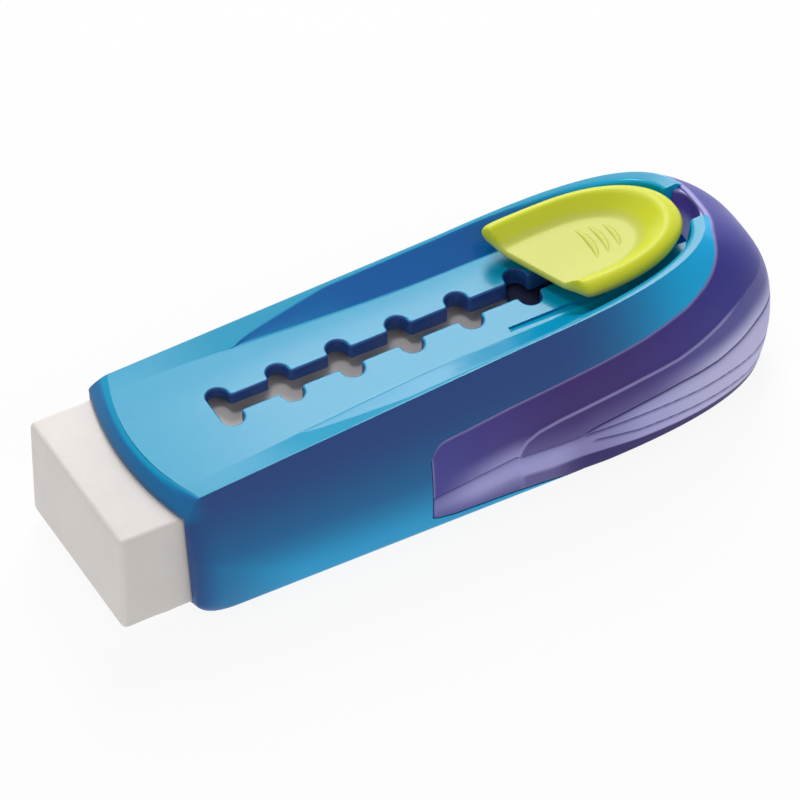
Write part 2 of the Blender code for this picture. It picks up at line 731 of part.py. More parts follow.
case_frame = empty_at("case_frame", (-centre_x, 0.0, 0.0))
slide_axis = empty_at("slide_axis", (carriage_front, 0.0, (eraser_bottom + eraser_top) / 2))
press_axis = empty_at("press_axis", (last_notch + BUTTON_BEHIND / 2, 0.0, floor_z(last_notch)))
slide_axis.parent = case_frame
hang_from(press_axis, slide_axis)

case_shell()
base_plate()
grips()
for piece in (eraser(), carriage(), lock_spring()):
    hang_from(piece, slide_axis)
hang_from(thumb_button(), press_axis)
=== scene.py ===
# %% [markdown]
# # A slide eraser, dressed for its portrait
# A white block eraser sits in a glossy blue case. A lime thumb button runs along a notched slot and pushes
# it out, and a soft purple grip wraps the tail. The CAD model has the right sizes and joints, so this
# lesson loads it as a fixed frame and lays finer surfaces over it, piece by piece.

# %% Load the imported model
import math

import bmesh
import bpy
import numpy as np
from mathutils import Matrix, Vector


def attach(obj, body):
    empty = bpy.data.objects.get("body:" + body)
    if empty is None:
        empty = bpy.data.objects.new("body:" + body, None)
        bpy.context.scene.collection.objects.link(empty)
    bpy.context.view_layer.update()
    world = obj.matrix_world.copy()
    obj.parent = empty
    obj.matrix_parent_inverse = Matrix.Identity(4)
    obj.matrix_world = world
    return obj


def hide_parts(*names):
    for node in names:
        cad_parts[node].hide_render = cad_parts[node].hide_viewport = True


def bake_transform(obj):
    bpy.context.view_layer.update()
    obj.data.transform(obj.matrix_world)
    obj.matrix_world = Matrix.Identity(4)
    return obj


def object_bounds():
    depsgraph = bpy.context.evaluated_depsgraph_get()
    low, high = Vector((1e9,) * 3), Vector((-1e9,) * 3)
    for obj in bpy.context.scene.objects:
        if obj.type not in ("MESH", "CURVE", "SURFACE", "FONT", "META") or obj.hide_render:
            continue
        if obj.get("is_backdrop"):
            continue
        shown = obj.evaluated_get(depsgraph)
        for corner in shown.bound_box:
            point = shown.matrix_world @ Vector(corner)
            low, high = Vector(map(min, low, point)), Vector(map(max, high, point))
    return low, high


MM = 0.001
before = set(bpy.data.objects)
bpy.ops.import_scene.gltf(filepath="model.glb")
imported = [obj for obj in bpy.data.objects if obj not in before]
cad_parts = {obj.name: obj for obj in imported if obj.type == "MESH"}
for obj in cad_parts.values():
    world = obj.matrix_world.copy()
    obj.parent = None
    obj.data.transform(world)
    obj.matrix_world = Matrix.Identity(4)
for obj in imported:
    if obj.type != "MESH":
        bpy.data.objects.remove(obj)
cad_box = [list(corner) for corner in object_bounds()]
print("nodes:", sorted(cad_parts))

# %% [markdown]
# ## The camera
# The photograph was taken from above the near front corner with a long lens. The angles come from known
# corners of the eraser and the case, set against their places in the picture.

# %% Camera
AZIMUTH, ELEVATION, ROLL = math.radians(-27.9), math.radians(44.15), math.radians(-0.87)
FOCAL_PIXELS, PICTURE_PIXELS, SENSOR_WIDTH, DISTANCE = 8896.4, 800, 36, 0.9
LOOK_AT = Vector((-0.002183, 0.0, 0.007318))


def show(name, data):
    """Puts a mesh, a lamp or a camera into the scene."""
    obj = bpy.data.objects.new(name, data)
    bpy.context.scene.collection.objects.link(obj)
    return obj


back = Vector((math.sin(AZIMUTH) * math.cos(ELEVATION), -math.cos(AZIMUTH) * math.cos(ELEVATION),
               math.sin(ELEVATION)))
level_right = Vector((math.cos(AZIMUTH), math.sin(AZIMUTH), 0.0))
level_up = back.cross(level_right)
right = level_right * math.cos(ROLL) + level_up * math.sin(ROLL)
up = level_up * math.cos(ROLL) - level_right * math.sin(ROLL)
lens = bpy.data.cameras.new("camera")
lens.sensor_width = SENSOR_WIDTH
lens.lens = FOCAL_PIXELS * SENSOR_WIDTH / PICTURE_PIXELS
lens.clip_end = 10
camera = show("camera", lens)
place = Matrix((right, up, back)).transposed().to_4x4()
place.translation = LOOK_AT + back * DISTANCE
camera.matrix_world = place
bpy.context.scene.camera = camera
print("camera at", [round(value, 3) for value in camera.location])

# %% [markdown]
# ## Mesh helpers
# Every piece is worked out in millimetres along the case, with x = 0 at the mouth, and moved into the frame
# when its mesh is made. A loft joins rings of points into a skin: each ring is one level of the mould.

# %% Helpers that make meshes
CASE_LENGTH, MERGE = 71.5, 0.0004
# Marks for the finish: dark lines, painted sheen and painted highlight lines along edges.
MARKS, MIRROR = ("dark", "painted_sheen", "edge"), [1, -1, 1]
shift_x = cad_box[1][0] / MM - CASE_LENGTH


def mix(first, second, share):
    return first + (second - first) * share


def clip(value):
    return np.clip(value, 0.0, 1.0)


def smooth_step(value):
    value = clip(value)
    return value * value * (3 - 2 * value)


def rise(value, start, run):
    """0 up to a start, then an eased climb to 1 over a run."""
    return smooth_step((value - start) / run)


def quarter(count):
    return np.linspace(0, math.pi / 2, count)


def xyz(x, y, z):
    return np.stack(np.broadcast_arrays(x, y, z), axis=-1)


def in_frame(x, y, z):
    """From millimetres along the case into the frame, in metres."""
    return (x + shift_x) * MM, y * MM, z * MM


def keep(name, data):
    mesh = bpy.data.meshes.new(name)
    data.to_mesh(mesh)
    data.free()
    return show(name, mesh)


def loft(name, rings, marks=()):
    """A closed skin through rings of equal point counts. The points can carry marks for the finish: dark
    lines, painted sheen and painted highlights.
    """
    data = bmesh.new()
    layers = [data.verts.layers.float.new(mark) for mark in MARKS] if marks else []
    rows = [[data.verts.new(point) for point in ring] for ring in rings]
    for row, numbers in zip(rows, marks):
        for vert, values in zip(row, numbers):
            for layer, value in zip(layers, values):
                vert[layer] = float(value)
    for lower, upper in zip(rows[:-1], rows[1:]):
        for i in range(len(lower)):
            j = (i + 1) % len(lower)
            data.faces.new((lower[i], lower[j], upper[j], upper[i]))
    data.faces.new(rows[0][::-1])
    data.faces.new(rows[-1])
    bmesh.ops.remove_doubles(data, verts=data.verts, dist=MERGE)
    for vert in data.verts:
        vert.co = in_frame(*vert.co)
    data.normal_update()
    bmesh.ops.recalc_face_normals(data, faces=data.faces)
    return keep(name, data)


def prism(name, plan, low, high):
    return loft(name, [np.array([(x, y, z) for x, y in plan]) for z in (low, high)])


def rounded_rectangle(low, high, radius, steps):
    """Points round a rectangle with round corners, given by two opposite corners."""
    outline = []
    for side, lift, start in ((1, 1, 0), (-1, 1, 90), (-1, -1, 180), (1, -1, 270)):
        for turn in np.radians(np.linspace(start, start + 90, steps)):
            across = (high[0] if side > 0 else low[0]) - side * radius + radius * math.cos(turn)
            along = (high[1] if lift > 0 else low[1]) - lift * radius + radius * math.sin(turn)
            outline.append((across, along))
    return outline


def settle(obj):
    """Applies what the modifiers made and removes them."""
    graph = bpy.context.evaluated_depsgraph_get()
    mesh = bpy.data.meshes.new_from_object(obj.evaluated_get(graph))
    obj.modifiers.clear()
    obj.data = mesh


def cut(obj, tools):
    """Takes the tools away from a piece and leaves it a plain mesh."""
    for tool in tools:
        boolean = obj.modifiers.new(tool.name, "BOOLEAN")
        boolean.object = tool
        boolean.operation = "DIFFERENCE"
        boolean.solver = "EXACT"
    settle(obj)
    for tool in tools:
        bpy.data.objects.remove(tool, do_unlink=True)


def smooth(obj, angle_deg):
    obj.data.shade_smooth()
    obj.data.set_sharp_from_angle(angle=math.radians(angle_deg))


def keep_flat(obj, normal, tolerance_deg=0.4):
    """Splits the shading where flat faces meet others, so that no curve bleeds into them."""
    data = bmesh.new()
    data.from_mesh(obj.data)
    limit = math.cos(math.radians(tolerance_deg))
    flat = {face for face in data.faces if face.normal.dot(normal) > limit}
    for edge in data.edges:
        if sum(face in flat for face in edge.link_faces) == 1:
            edge.smooth = False
    data.to_mesh(obj.data)
    data.free()


def tell(obj):
    print(obj.name, sum(len(face.vertices) - 2 for face in obj.data.polygons), "triangles")


print("case coordinates shift by", round(shift_x, 3), "mm")

# %% [markdown]
# ## The surface of the case
# From above the case is a long block with a rounded tail, and from the side its top climbs gently to the
# rear. One rule gives both: a point is named by how far along the side it lies (t, 0 to 1 on the straight,
# 1 to 2 round the tail) and by its share of the height there. The grip uses the same rule, so the two fit.

# %% The rule of the outer surface
HALF_CAVITY, HALF_WIDE = 10.25, 12.0
TAIL_START, POCKET_END = 39.5, 62.8
FLOOR_FRONT, BASE_THICKNESS = 15.55, 0.9
WIDEST_SHARE, SIDE_CROWN, MEASURED_SHARE = 0.33, 2.5, 0.4
LEAN_FRONT, LEAN_REAR = 1.95, 2.7
TAIL_LEAN, TAIL_CROWN, TAIL_SQUARENESS = 7.4, 2.5, 3.0
FOOT_TUCK, FOOT_TAIL_TUCK, FOOT_ROUND = 0.5, 1.2, 0.6
TOP_RISE, FLOOR_RISE = math.tan(math.radians(4.1)), math.tan(math.radians(1.4))
NOSE_BACK, NOSE_DROP, NOSE_BOW, NOSE_ROUND = 2.5, 1.6, 2.2, 0.45
MOUTH_BACK, MOUTH_RAKE, MOUTH_BOW = 0.6, 0.7, 1.6
MOUTH_LIP, MOUTH_ROUND = 0.35, 3.0
FOOT_RAKE, FOOT_RAKE_HEIGHT = 1.6, 1.8
TAIL_SAMPLES, SIDE_SAMPLES = 4000, 400


def top_z(x):
    return FLOOR_FRONT + TOP_RISE * (np.clip(x, 0.0, POCKET_END) - NOSE_BACK)


def floor_z(x):
    return FLOOR_FRONT + FLOOR_RISE * (x - NOSE_BACK)


def bevel_share(level):
    return clip(1 - (1 - level) * top_z(0.0) / NOSE_DROP)


def front_x(level):
    """Where the front starts: raked at the foot, leaning back below the rim and rounded over the nose."""
    climb = bevel_share(level)
    rounded = mix(climb, 1 - np.sqrt(1 - climb ** 2), NOSE_ROUND)
    rake = np.maximum(0.0, 1 - level * top_z(0.0) / FOOT_RAKE_HEIGHT) ** 2
    lean = MOUTH_RAKE * clip(1 - level * top_z(0.0) / (top_z(0.0) - NOSE_DROP))
    return MOUTH_BACK + (NOSE_BACK - MOUTH_BACK) * rounded + lean + FOOT_RAKE * rake


def side_shape(level):
    tuck = np.maximum(0.0, (WIDEST_SHARE - level) / WIDEST_SHARE) ** 2
    up_share = np.maximum(0.0, (level - WIDEST_SHARE) / (1 - WIDEST_SHARE))
    lean = up_share ** SIDE_CROWN
    half = HALF_WIDE - FOOT_TUCK * tuck
    reach = CASE_LENGTH - FOOT_TAIL_TUCK * tuck - TAIL_LEAN * up_share ** TAIL_CROWN
    return half - LEAN_FRONT * lean, half - LEAN_REAR * lean, reach


def swept(t, start, half_front, half_rear, reach):
    """x and half width along a side, straight first and then round the tail."""
    turn = np.clip(t - 1, 0.0, 1.0) * math.pi / 2
    power = 2 / TAIL_SQUARENESS
    along, round_tail = np.minimum(t, 1.0), t > 1
    tail_x = TAIL_START + (reach - TAIL_START) * np.sin(turn) ** power
    bend = np.maximum(np.cos(turn), 0.0) ** power
    x = np.where(round_tail, tail_x, mix(start, TAIL_START, along))
    return x, np.where(round_tail, half_rear * bend, mix(half_front, half_rear, along))


def side_points(t, level, inset=0.0):
    """Points on the outer side at y >= 0, as an array of shape (..., 3)."""
    half_front, half_rear, reach = side_shape(level)
    start = front_x(level)
    x, y = swept(t, start + inset, half_front - inset, half_rear - inset, reach - inset)
    to_go = clip(1 - (x - start - inset) / MOUTH_ROUND)
    drawn_in = np.maximum(0.0, half_front - HALF_CAVITY - MOUTH_LIP)
    return xyz(x, y - drawn_in * (1 - np.sqrt(1 - to_go ** 2)), level * top_z(x))


def fine_side(first, straight):
    """Close values of t from a first one to the middle of the tail, and the distance run at each."""
    fine = np.concatenate([np.linspace(first, 1.0, straight), 1 + np.linspace(0, 1, TAIL_SAMPLES)[1:]])
    steps = np.linalg.norm(np.diff(side_points(fine, MEASURED_SHARE), axis=0), axis=1)
    return fine, np.concatenate([[0.0], np.cumsum(steps)])


def even_stations(first, count):
    """Values of t from a first one on, evenly spaced along the side."""
    fine, run = fine_side(first, SIDE_SAMPLES)
    return np.interp(np.linspace(0, run[-1], count), run, fine)


print("case", CASE_LENGTH, "x", 2 * HALF_WIDE, "x", round(float(top_z(CASE_LENGTH)), 2), "mm")

# %% [markdown]
# ## Rings of the case
# A ring runs along the near side, round the tail, back along the far side and across the bowed front. The
# upper rings make the track: the rail's crest, a shoulder round the pocket, the inner wall and the sunken
# floor. Corners are softened by blending three rings.

# %% Rings
FLOOR_WIDTH_FRONT, FLOOR_WIDTH_REAR, FLOOR_TAPER_END = 15.6, 11.6, 36.0
RAIL_START, RAIL_FULL, RAIL_CREST, RAIL_BEND = 15.5, 26.5, 0.45, 0.55
POCKET_RIM, POCKET_DRAFT, POCKET_LEAD, POCKET_RUN = 1.45, 0.3, 5.5, 4.0
LAST_NOTCH = 51.35
SHOULDER_WIDTH, SHOULDER_DROP, SHOULDER_START, SHOULDER_RUN = 0.95, 0.24, 42.0, 8.0
SHOULDER_SHARE, SHOULDER_GAP, FLOOR_INSET = 0.15, 0.1, 0.4
FOOT_CURVE = ((0.0, FOOT_ROUND), (0.0008, 0.42), (0.004, 0.25), (0.010, 0.12), (0.020, 0.03), (0.034, 0.0))
FRONT_POINTS, CORNER_POINTS, SIDE_POINTS = 40, 12, 150
corner_t = MOUTH_ROUND / TAIL_START
case_t = np.concatenate([
    corner_t * (1 - np.cos(quarter(CORNER_POINTS)))[:-1],
    even_stations(corner_t, SIDE_POINTS),
])


def whole_ring(side, front_of, height):
    """Closes a far-side run of points with its mirror image and the bowed front."""
    half = side[0][1]
    y = np.linspace(-half, half, FRONT_POINTS + 1)[1:-1]
    x = front_of(y)
    return np.concatenate([side * MIRROR, side[-2::-1], xyz(x, y, height(x))[::-1]])


def outer_ring(level, inset=0.0):
    side = side_points(case_t, level, inset)
    x0, half, _ = side[0]
    bow = mix(MOUTH_BOW, NOSE_BOW, bevel_share(level))
    return whole_ring(side, lambda y: x0 - bow * (1 - (y / half) ** 2), lambda x: level * top_z(x))


def nose_line(y, inset=0.0):
    """Front edge of the top, bowed forwards in the middle."""
    return NOSE_BACK + inset - NOSE_BOW * (1 - (y / (HALF_WIDE - LEAN_FRONT)) ** 2)


def floor_half(x):
    return mix(FLOOR_WIDTH_FRONT, FLOOR_WIDTH_REAR, smooth_step(x / FLOOR_TAPER_END)) / 2


def track_side(inset=0.0):
    """Edge of the track floor, widening to a pocket round the button."""
    end = POCKET_END - POCKET_DRAFT - inset
    pocket_half = HALF_WIDE - LEAN_REAR - POCKET_RIM - POCKET_DRAFT - inset
    start = nose_line(FLOOR_WIDTH_FRONT / 2 - inset, inset)
    x, narrow = swept(case_t, start, 0.0, FLOOR_WIDTH_REAR / 2 - inset, end)
    wide = swept(case_t, start, 0.0, pocket_half, end)[1]
    widened = rise(x, LAST_NOTCH - POCKET_LEAD, POCKET_RUN)
    y = np.where(case_t > 1, mix(narrow, wide, widened), floor_half(x) - inset)
    return xyz(x, y, floor_z(x))


def rail_side():
    """Upper edge of the rail's inner wall."""
    half_front, half_rear = HALF_WIDE - LEAN_FRONT, HALF_WIDE - LEAN_REAR
    slope = (top_z(RAIL_START) - floor_z(RAIL_START)) / (half_front - floor_half(RAIL_START))
    start = nose_line(FLOOR_WIDTH_FRONT / 2)
    x, y = swept(case_t, start, half_front - RAIL_CREST, half_rear - RAIL_CREST, POCKET_END)
    straight = case_t <= 1
    leaving = clip((x - RAIL_START) / (RAIL_FULL - RAIL_START)) ** RAIL_BEND
    y = np.where(straight, mix(floor_half(x), y, leaving), y)
    outer = mix(half_front, half_rear, np.minimum(case_t, 1.0))
    beside_track = np.maximum(floor_z(x), top_z(x) - slope * (outer - y))
    return xyz(x, y, np.where(straight, beside_track, top_z(x) - slope * RAIL_CREST))


def shoulder_side():
    """A sloping shoulder inside the crest, round the pocket, and further forward the inner wall."""
    wall = mix(rail_side(), track_side(), SHOULDER_SHARE)
    half = HALF_WIDE - LEAN_REAR - SHOULDER_WIDTH
    x, y = swept(case_t, wall[0, 0], 0.0, half, POCKET_END - SHOULDER_GAP)
    share = rise(wall[:, 0], SHOULDER_START, SHOULDER_RUN)[:, None]
    return mix(wall, xyz(x, y, top_z(x) - SHOULDER_DROP), share)


def eased(first, corner, last, steps):
    """Rings or points on a soft curve from one to another round a corner."""
    shares = np.linspace(0, 1, steps + 1)
    return [(1 - s) ** 2 * first + 2 * s * (1 - s) * corner + s ** 2 * last for s in shares]


def towards(ring, other, distance):
    """A ring moved a distance towards another, at most half way."""
    gap = np.linalg.norm(other - ring, axis=1, keepdims=True)
    return ring + (other - ring) * np.minimum(0.5, distance / np.maximum(gap, 1e-9))


def corner_rings(before, ring, after, reach_before, reach_after, steps):
    return eased(towards(ring, before, reach_before), ring, towards(ring, after, reach_after), steps)


def case_rings():
    nose_share = NOSE_DROP / top_z(0.0)
    foot = [outer_ring(level, inset) for level, inset in FOOT_CURVE]
    body = [outer_ring(level) for level in np.linspace(0.05, WIDEST_SHARE, 10)]
    body += [outer_ring(level) for level in np.linspace(WIDEST_SHARE, 1 - nose_share, 26)[1:]]
    body += [outer_ring(1 - (1 - climb) * nose_share) for climb in np.sin(quarter(12))[1:-1]]
    edge = outer_ring(1.0)
    rail, shoulder, track = (
        whole_ring(side, nose_line, floor_z) for side in (rail_side(), shoulder_side(), track_side()))
    floor = whole_ring(track_side(FLOOR_INSET), lambda y: nose_line(y, FLOOR_INSET), floor_z)
    crest = corner_rings(body[-1], edge, rail, 0.3, 0.35, 4)
    inner = corner_rings(edge, rail, shoulder, 0.15, 0.15, 3)
    inner += corner_rings(rail, shoulder, track, 0.25, 0.25, 3)
    fillet = corner_rings(shoulder, track, floor, 0.25, 0.25, 3)
    return foot + body + crest + inner + fillet + [floor]


case = loft("case", case_rings())
tell(case)

# %% [markdown]
# ## Openings in the case
# The slot is one outline, a channel with seven round-ended notches. Its cutter flares where it meets the
# floor, which gives the slot the small rounded rim that catches the light.

# %% Slot cutter
NOTCHES, NOTCH_PITCH, NOTCH_WIDTH, NOTCH_LENGTH, CHANNEL_WIDTH = 7, 6.8, 5.6, 2.3, 2.2
SLOT_REAR, RIM_ROUND, CORNER_ROUND = 55.9, 0.25, 0.5
ROOF_UNDER, MOUTH_ROOF, ERASER_TOP = 14.55, 13.6, 13.35
CUT_BELOW, CUT_ABOVE = 0.6, 6.0


def round_corner(before, corner, after, radius):
    before, corner, after = (np.array(p) for p in (before, corner, after))
    start = corner + (before - corner) / np.linalg.norm(before - corner) * radius
    end = corner + (after - corner) / np.linalg.norm(after - corner) * radius
    return [tuple(point) for point in eased(start, corner, end, 4)]


def slot_outline():
    half, radius = CHANNEL_WIDTH / 2, NOTCH_LENGTH / 2
    reach = NOTCH_WIDTH / 2 - radius
    turn = np.linspace(math.pi, 0, 17)
    far = []
    for i in range(NOTCHES):
        centre = LAST_NOTCH - (NOTCHES - 1 - i) * NOTCH_PITCH
        front, rear = centre - radius, centre + radius
        if i:
            far += round_corner((front - 1, half), (front, half), (front, reach), CORNER_ROUND)
        far += list(zip(centre + radius * np.cos(turn), reach + radius * np.sin(turn)))
        far += round_corner((rear, reach), (rear, half), (rear + 1, half), CORNER_ROUND)
    far.append((SLOT_REAR, half))
    return np.array(far + [(x, -y) for x, y in reversed(far)])


def unit(vectors):
    return vectors / np.maximum(np.linalg.norm(vectors, axis=1, keepdims=True), 1e-9)


def grown(outline, distance):
    ahead = unit(np.roll(outline, -1, axis=0) - outline)
    outwards = np.stack([-ahead[:, 1], ahead[:, 0]], axis=1)
    corner = unit(outwards + np.roll(outwards, 1, axis=0))
    lengthen = np.minimum(1 / np.maximum((corner * outwards).sum(axis=1, keepdims=True), 0.5), 1.5)
    return outline + corner * distance * lengthen


def slot_cutter():
    outline = slot_outline()
    floor = floor_z(outline[:, 0])
    rings = [np.column_stack([outline, np.full(len(outline), ROOF_UNDER - CUT_BELOW)])]
    for turn in quarter(6):
        flared = grown(outline, RIM_ROUND * (1 - math.cos(turn)))
        rings.append(np.column_stack([flared, floor - RIM_ROUND * (1 - math.sin(turn))]))
    rings.append(np.column_stack([grown(outline, RIM_ROUND), floor + CUT_ABOVE]))
    return loft("slot_cutter", rings)


slot = slot_cutter()
print("slot outline:", len(slot_outline()), "points")

# %% [markdown]
# ## Lines of the grip
# The grip's lines were measured on the photograph as places along the case and shares of the height: the
# seam against the blue, the parting line between its halves, the step round the raised panel, two fine
# grooves, the dark band and the foot. Each list becomes a smooth function of t.

# %% Lines on the grip
GRIP_FRONT, SEAM_GAP = 27.3, 0.08
SEAM = [(27.3, 0.54), (27.7, 0.61), (28.2, 0.653), (28.9, 0.676), (29.8, 0.682), (31.6, 0.688),
        (33.4, 0.696), (36.6, 0.71), (40.2, 0.718), (43.8, 0.728), (47.0, 0.737), (50.2, 0.748),
        (52.5, 0.757), (58.0, 0.797), (59.1, 0.814), (60.8, 0.842), (61.9, 0.871), (63.1, 0.918),
        (63.6, 0.951), (64.0, 0.972)]
PARTING = [(27.3, 0.272), (28.3, 0.278), (32.9, 0.309), (37.5, 0.322), (42.2, 0.297), (44.4, 0.293),
           (46.8, 0.32), (51.6, 0.342), (56.5, 0.356), (59.1, 0.354), (61.7, 0.358), (64.6, 0.387),
           (67.0, 0.422), (69.2, 0.43)]
PANEL_STEP = [(37.5, 0.30), (37.55, 0.34), (37.9, 0.38), (38.5, 0.42), (39.9, 0.455), (42.3, 0.476),
              (46.9, 0.494), (51.7, 0.51), (56.6, 0.519), (59.3, 0.545), (62.0, 0.58), (64.3, 0.624),
              (66.0, 0.658)]
GROOVE_UPPER = [(44.6, 0.291), (49.2, 0.268), (54.0, 0.248), (59.1, 0.223), (63.2, 0.213), (67.0, 0.199)]
GROOVE_LOWER = [(45.7, 0.228), (51.7, 0.149), (59.2, 0.109), (63.2, 0.095), (66.5, 0.078)]
BAND_EDGE = [(38.0, 0.165), (41.3, 0.142), (45.0, 0.134), (48.1, 0.11), (51.7, 0.08), (56.7, 0.058),
             (59.2, 0.052), (66.0, 0.042)]
BAND_DARK = (41.0, 47.0)
FOOT = [(27.3, 0.128), (28.1, 0.098), (30.2, 0.074), (32.1, 0.07), (36.8, 0.058), (40.7, 0.04), (43.5, 0.02),
        (48.0, 0.002), (60.0, 0.002)]
GRID, SOFTNESS = 600, 9
fine_t, fine_run = fine_side(0.6, 200)


def run_of(t):
    """Distance along the side in millimetres, for a value of t."""
    return np.interp(t, fine_t, fine_run)


def t_of(x, level):
    return float(np.interp(x, side_points(fine_t, level)[:, 0], fine_t))


def line(measured):
    """A smooth level for each t through measured points."""
    known_run = np.array([run_of(t_of(x, level)) for x, level in measured])
    grid = np.linspace(fine_run[0], fine_run[-1], GRID)
    values = np.interp(grid, known_run, np.array([level for _, level in measured]))
    padded = np.concatenate([np.full(SOFTNESS, values[0]), values, np.full(SOFTNESS, values[-1])])
    weights = np.hanning(2 * SOFTNESS + 1)
    values = np.convolve(padded, weights / weights.sum(), "valid")
    return lambda t: np.interp(run_of(t), grid, values)


seam_level, parting_level, groove_upper, groove_lower, band_edge, foot_level = (
    line(measured) for measured in (SEAM, PARTING, GROOVE_UPPER, GROOVE_LOWER, BAND_EDGE, FOOT))
print("grip runs", round(float(fine_run[-1] - run_of(GRIP_FRONT / TAIL_START)), 1), "mm along each side")

# %% [markdown]
# ## Cutting the case
# The cutters follow the CAD model: the eraser's channel with its lower mouth roof, the opening for the base
# plate, the cord eye and the seat of the grip. A short groove lies beside the button. Then the steep parts
# and inner walls are marked, where the blue is painted deeper as painted shade.

# %% Cutters for the case
CAVITY_REAR, REAR_TAPER = 59.3, 1.5
MOUTH_CUT, CHANNEL_CUT, PLATE_CUT = -4.0, 2.7, 3.95
EYE_FRONT, EYE_HALF, EYE_BACK, EYE_ROUND = 60.3, 2.65, 68.0, 0.8
RAIL_GAP_SHARE, RAIL_GAP_ROUND = 0.66, 0.2
DEPTH_LOW, DEPTH_HIGH, DEPTH_HIGH_SHARE, SEAT_CLEAR = 0.85, 0.45, 0.74, 1.7
GROOVE_FAR, GROOVE_ENDS = -4.45, ((40.35, 0.7, 0.26), (LAST_NOTCH, 1.05, 0.4))
first_t = GRIP_FRONT / TAIL_START


def slab(name, front, low, high):
    plan = [(front, -HALF_CAVITY), (LAST_NOTCH, -HALF_CAVITY), (CAVITY_REAR, REAR_TAPER - HALF_CAVITY)]
    return prism(name, plan + [(x, -y) for x, y in reversed(plan)], low, high)


def rounded_box(name, low, high, radius):
    return prism(name, rounded_rectangle(low, high, radius, 6), low[2], high[2])


def both_sides(rings):
    """Rings of the far side, then of the near side."""
    return rings + [ring * MIRROR for ring in rings[-2::-1]]


def grip_depth(level):
    return mix(DEPTH_LOW, DEPTH_HIGH, rise(level, WIDEST_SHARE, DEPTH_HIGH_SHARE - WIDEST_SHARE))


def grip_seat():
    gap = SEAM_GAP / FLOOR_FRONT
    rings = []
    for t in np.concatenate([[first_t - SEAM_GAP / TAIL_START], even_stations(first_t, SIDE_POINTS)[1:]]):
        levels = np.linspace(foot_level(t) - gap, seam_level(t) + gap, 8)
        inside = side_points(t, levels, grip_depth(levels) + SEAM_GAP)
        rings.append(np.concatenate([side_points(t, levels, -SEAT_CLEAR), inside[::-1]]))
    return loft("grip_seat", both_sides(rings))


def edge_groove():
    """A groove with a sloping bottom, deepest along its far edge, that widens to the rear."""
    rings = []
    for x, width, depth in GROOVE_ENDS:
        near, floor = GROOVE_FAR - width, float(floor_z(x))
        section = ((GROOVE_FAR, floor - depth), (near, floor), (near, floor + 5), (GROOVE_FAR, floor + 5))
        rings.append(np.array([(x, y, z) for y, z in section]))
    return loft("edge_groove", rings)


roof = float(top_z(CASE_LENGTH)) + 1
gap_low = (POCKET_END, -EYE_HALF, RAIL_GAP_SHARE * (roof - 1))
gap_high = (CASE_LENGTH + 1, EYE_HALF, roof + 1)
cut(case, [
    slab("mouth", MOUTH_CUT, BASE_THICKNESS, MOUTH_ROOF),
    slab("channel", CHANNEL_CUT, BASE_THICKNESS, ROOF_UNDER),
    slab("plate_opening", PLATE_CUT, -1.0, 2 * BASE_THICKNESS),
    slot,
    edge_groove(),
    rounded_box("cord_eye", (EYE_FRONT, -EYE_HALF, -1.0), (EYE_BACK, EYE_HALF, roof), EYE_ROUND),
    rounded_box("rail_gap", gap_low, gap_high, RAIL_GAP_ROUND),
    grip_seat(),
])
smooth(case, 32)
keep_flat(case, Vector((-FLOOR_RISE, 0.0, 1.0)).normalized())
tell(case)

# %% Walls of the case, marked for painted shade
STEEP, GENTLE, FACING = (0.7, 0.16), (0.935, 0.04), (0.05, 0.15)
NEAR_INNER, GROOVE_WALL = 0.06, 0.3
GROOVE_MIDDLE, GROOVE_ZONE, GROOVE_HEIGHT, GROOVE_FROM = 0.5, 0.6, 0.45, 40


def mark_painted_shade(obj):
    """Stores where the surface is a wall, where the blue gets painted shade. Inner walls count from a gentler
    slope, and the groove beside the button gets less of it.
    """
    mesh = obj.data
    normals = np.empty(len(mesh.loops) * 3, dtype=np.float32)
    mesh.corner_normals.foreach_get("vector", normals)
    _, across, up_share = normals.reshape(-1, 3).T
    steep, gentle = (1 - rise(up_share, *slope) for slope in (STEEP, GENTLE))
    inner = gentle * np.where(across < 0, rise(-across, *FACING), NEAR_INNER * rise(across, *FACING))
    x, y, z = (np.array([mesh.vertices[loop.vertex_index].co for loop in mesh.loops]) / MM).T
    x = x - shift_x
    beside = (np.abs(y - GROOVE_FAR + GROOVE_MIDDLE) < GROOVE_ZONE) & (x > GROOVE_FROM)
    grooved = beside & (np.abs(z - floor_z(x)) < GROOVE_HEIGHT)
    # The mark paints shade: steep walls and inner walls get deeper blue, the groove only a little.
    wall = np.maximum(steep, inner) * np.where(grooved, GROOVE_WALL, 1.0)
    mesh.attributes.new("wall", "FLOAT", "CORNER").data.foreach_set("value", wall)
    print("mean wall mark:", round(float(wall.mean()), 3))


mark_painted_shade(case)

# %% [markdown]
# ## The soft grip
# Each half is a shell: a fine grid outside, the seat's depth inside and eased edges all round. The relief
# is pressed into the grid as a depth in millimetres. The same functions mark where the finish is dark (the
# parting joint, a band and painted shade in the grooves), where it carries painted sheen, and where painted
# highlights run along an edge.

# %% Relief of the grip
STEP_DEPTH, STEP_EASE, STEP_RETURN = 0.24, (-0.12, 0.34), 5.5
GROOVE_DEPTH, GROOVE_WIDTH, PARTING_WIDTH = 0.2, 0.13, 0.15
step_run = run_of(np.array([t_of(x, level) for x, level in PANEL_STEP]))
step_height = np.array([level * float(top_z(x)) for x, level in PANEL_STEP])
panel_start = step_run[0]


def bell(value, width):
    return np.exp(-(value / width) ** 2)


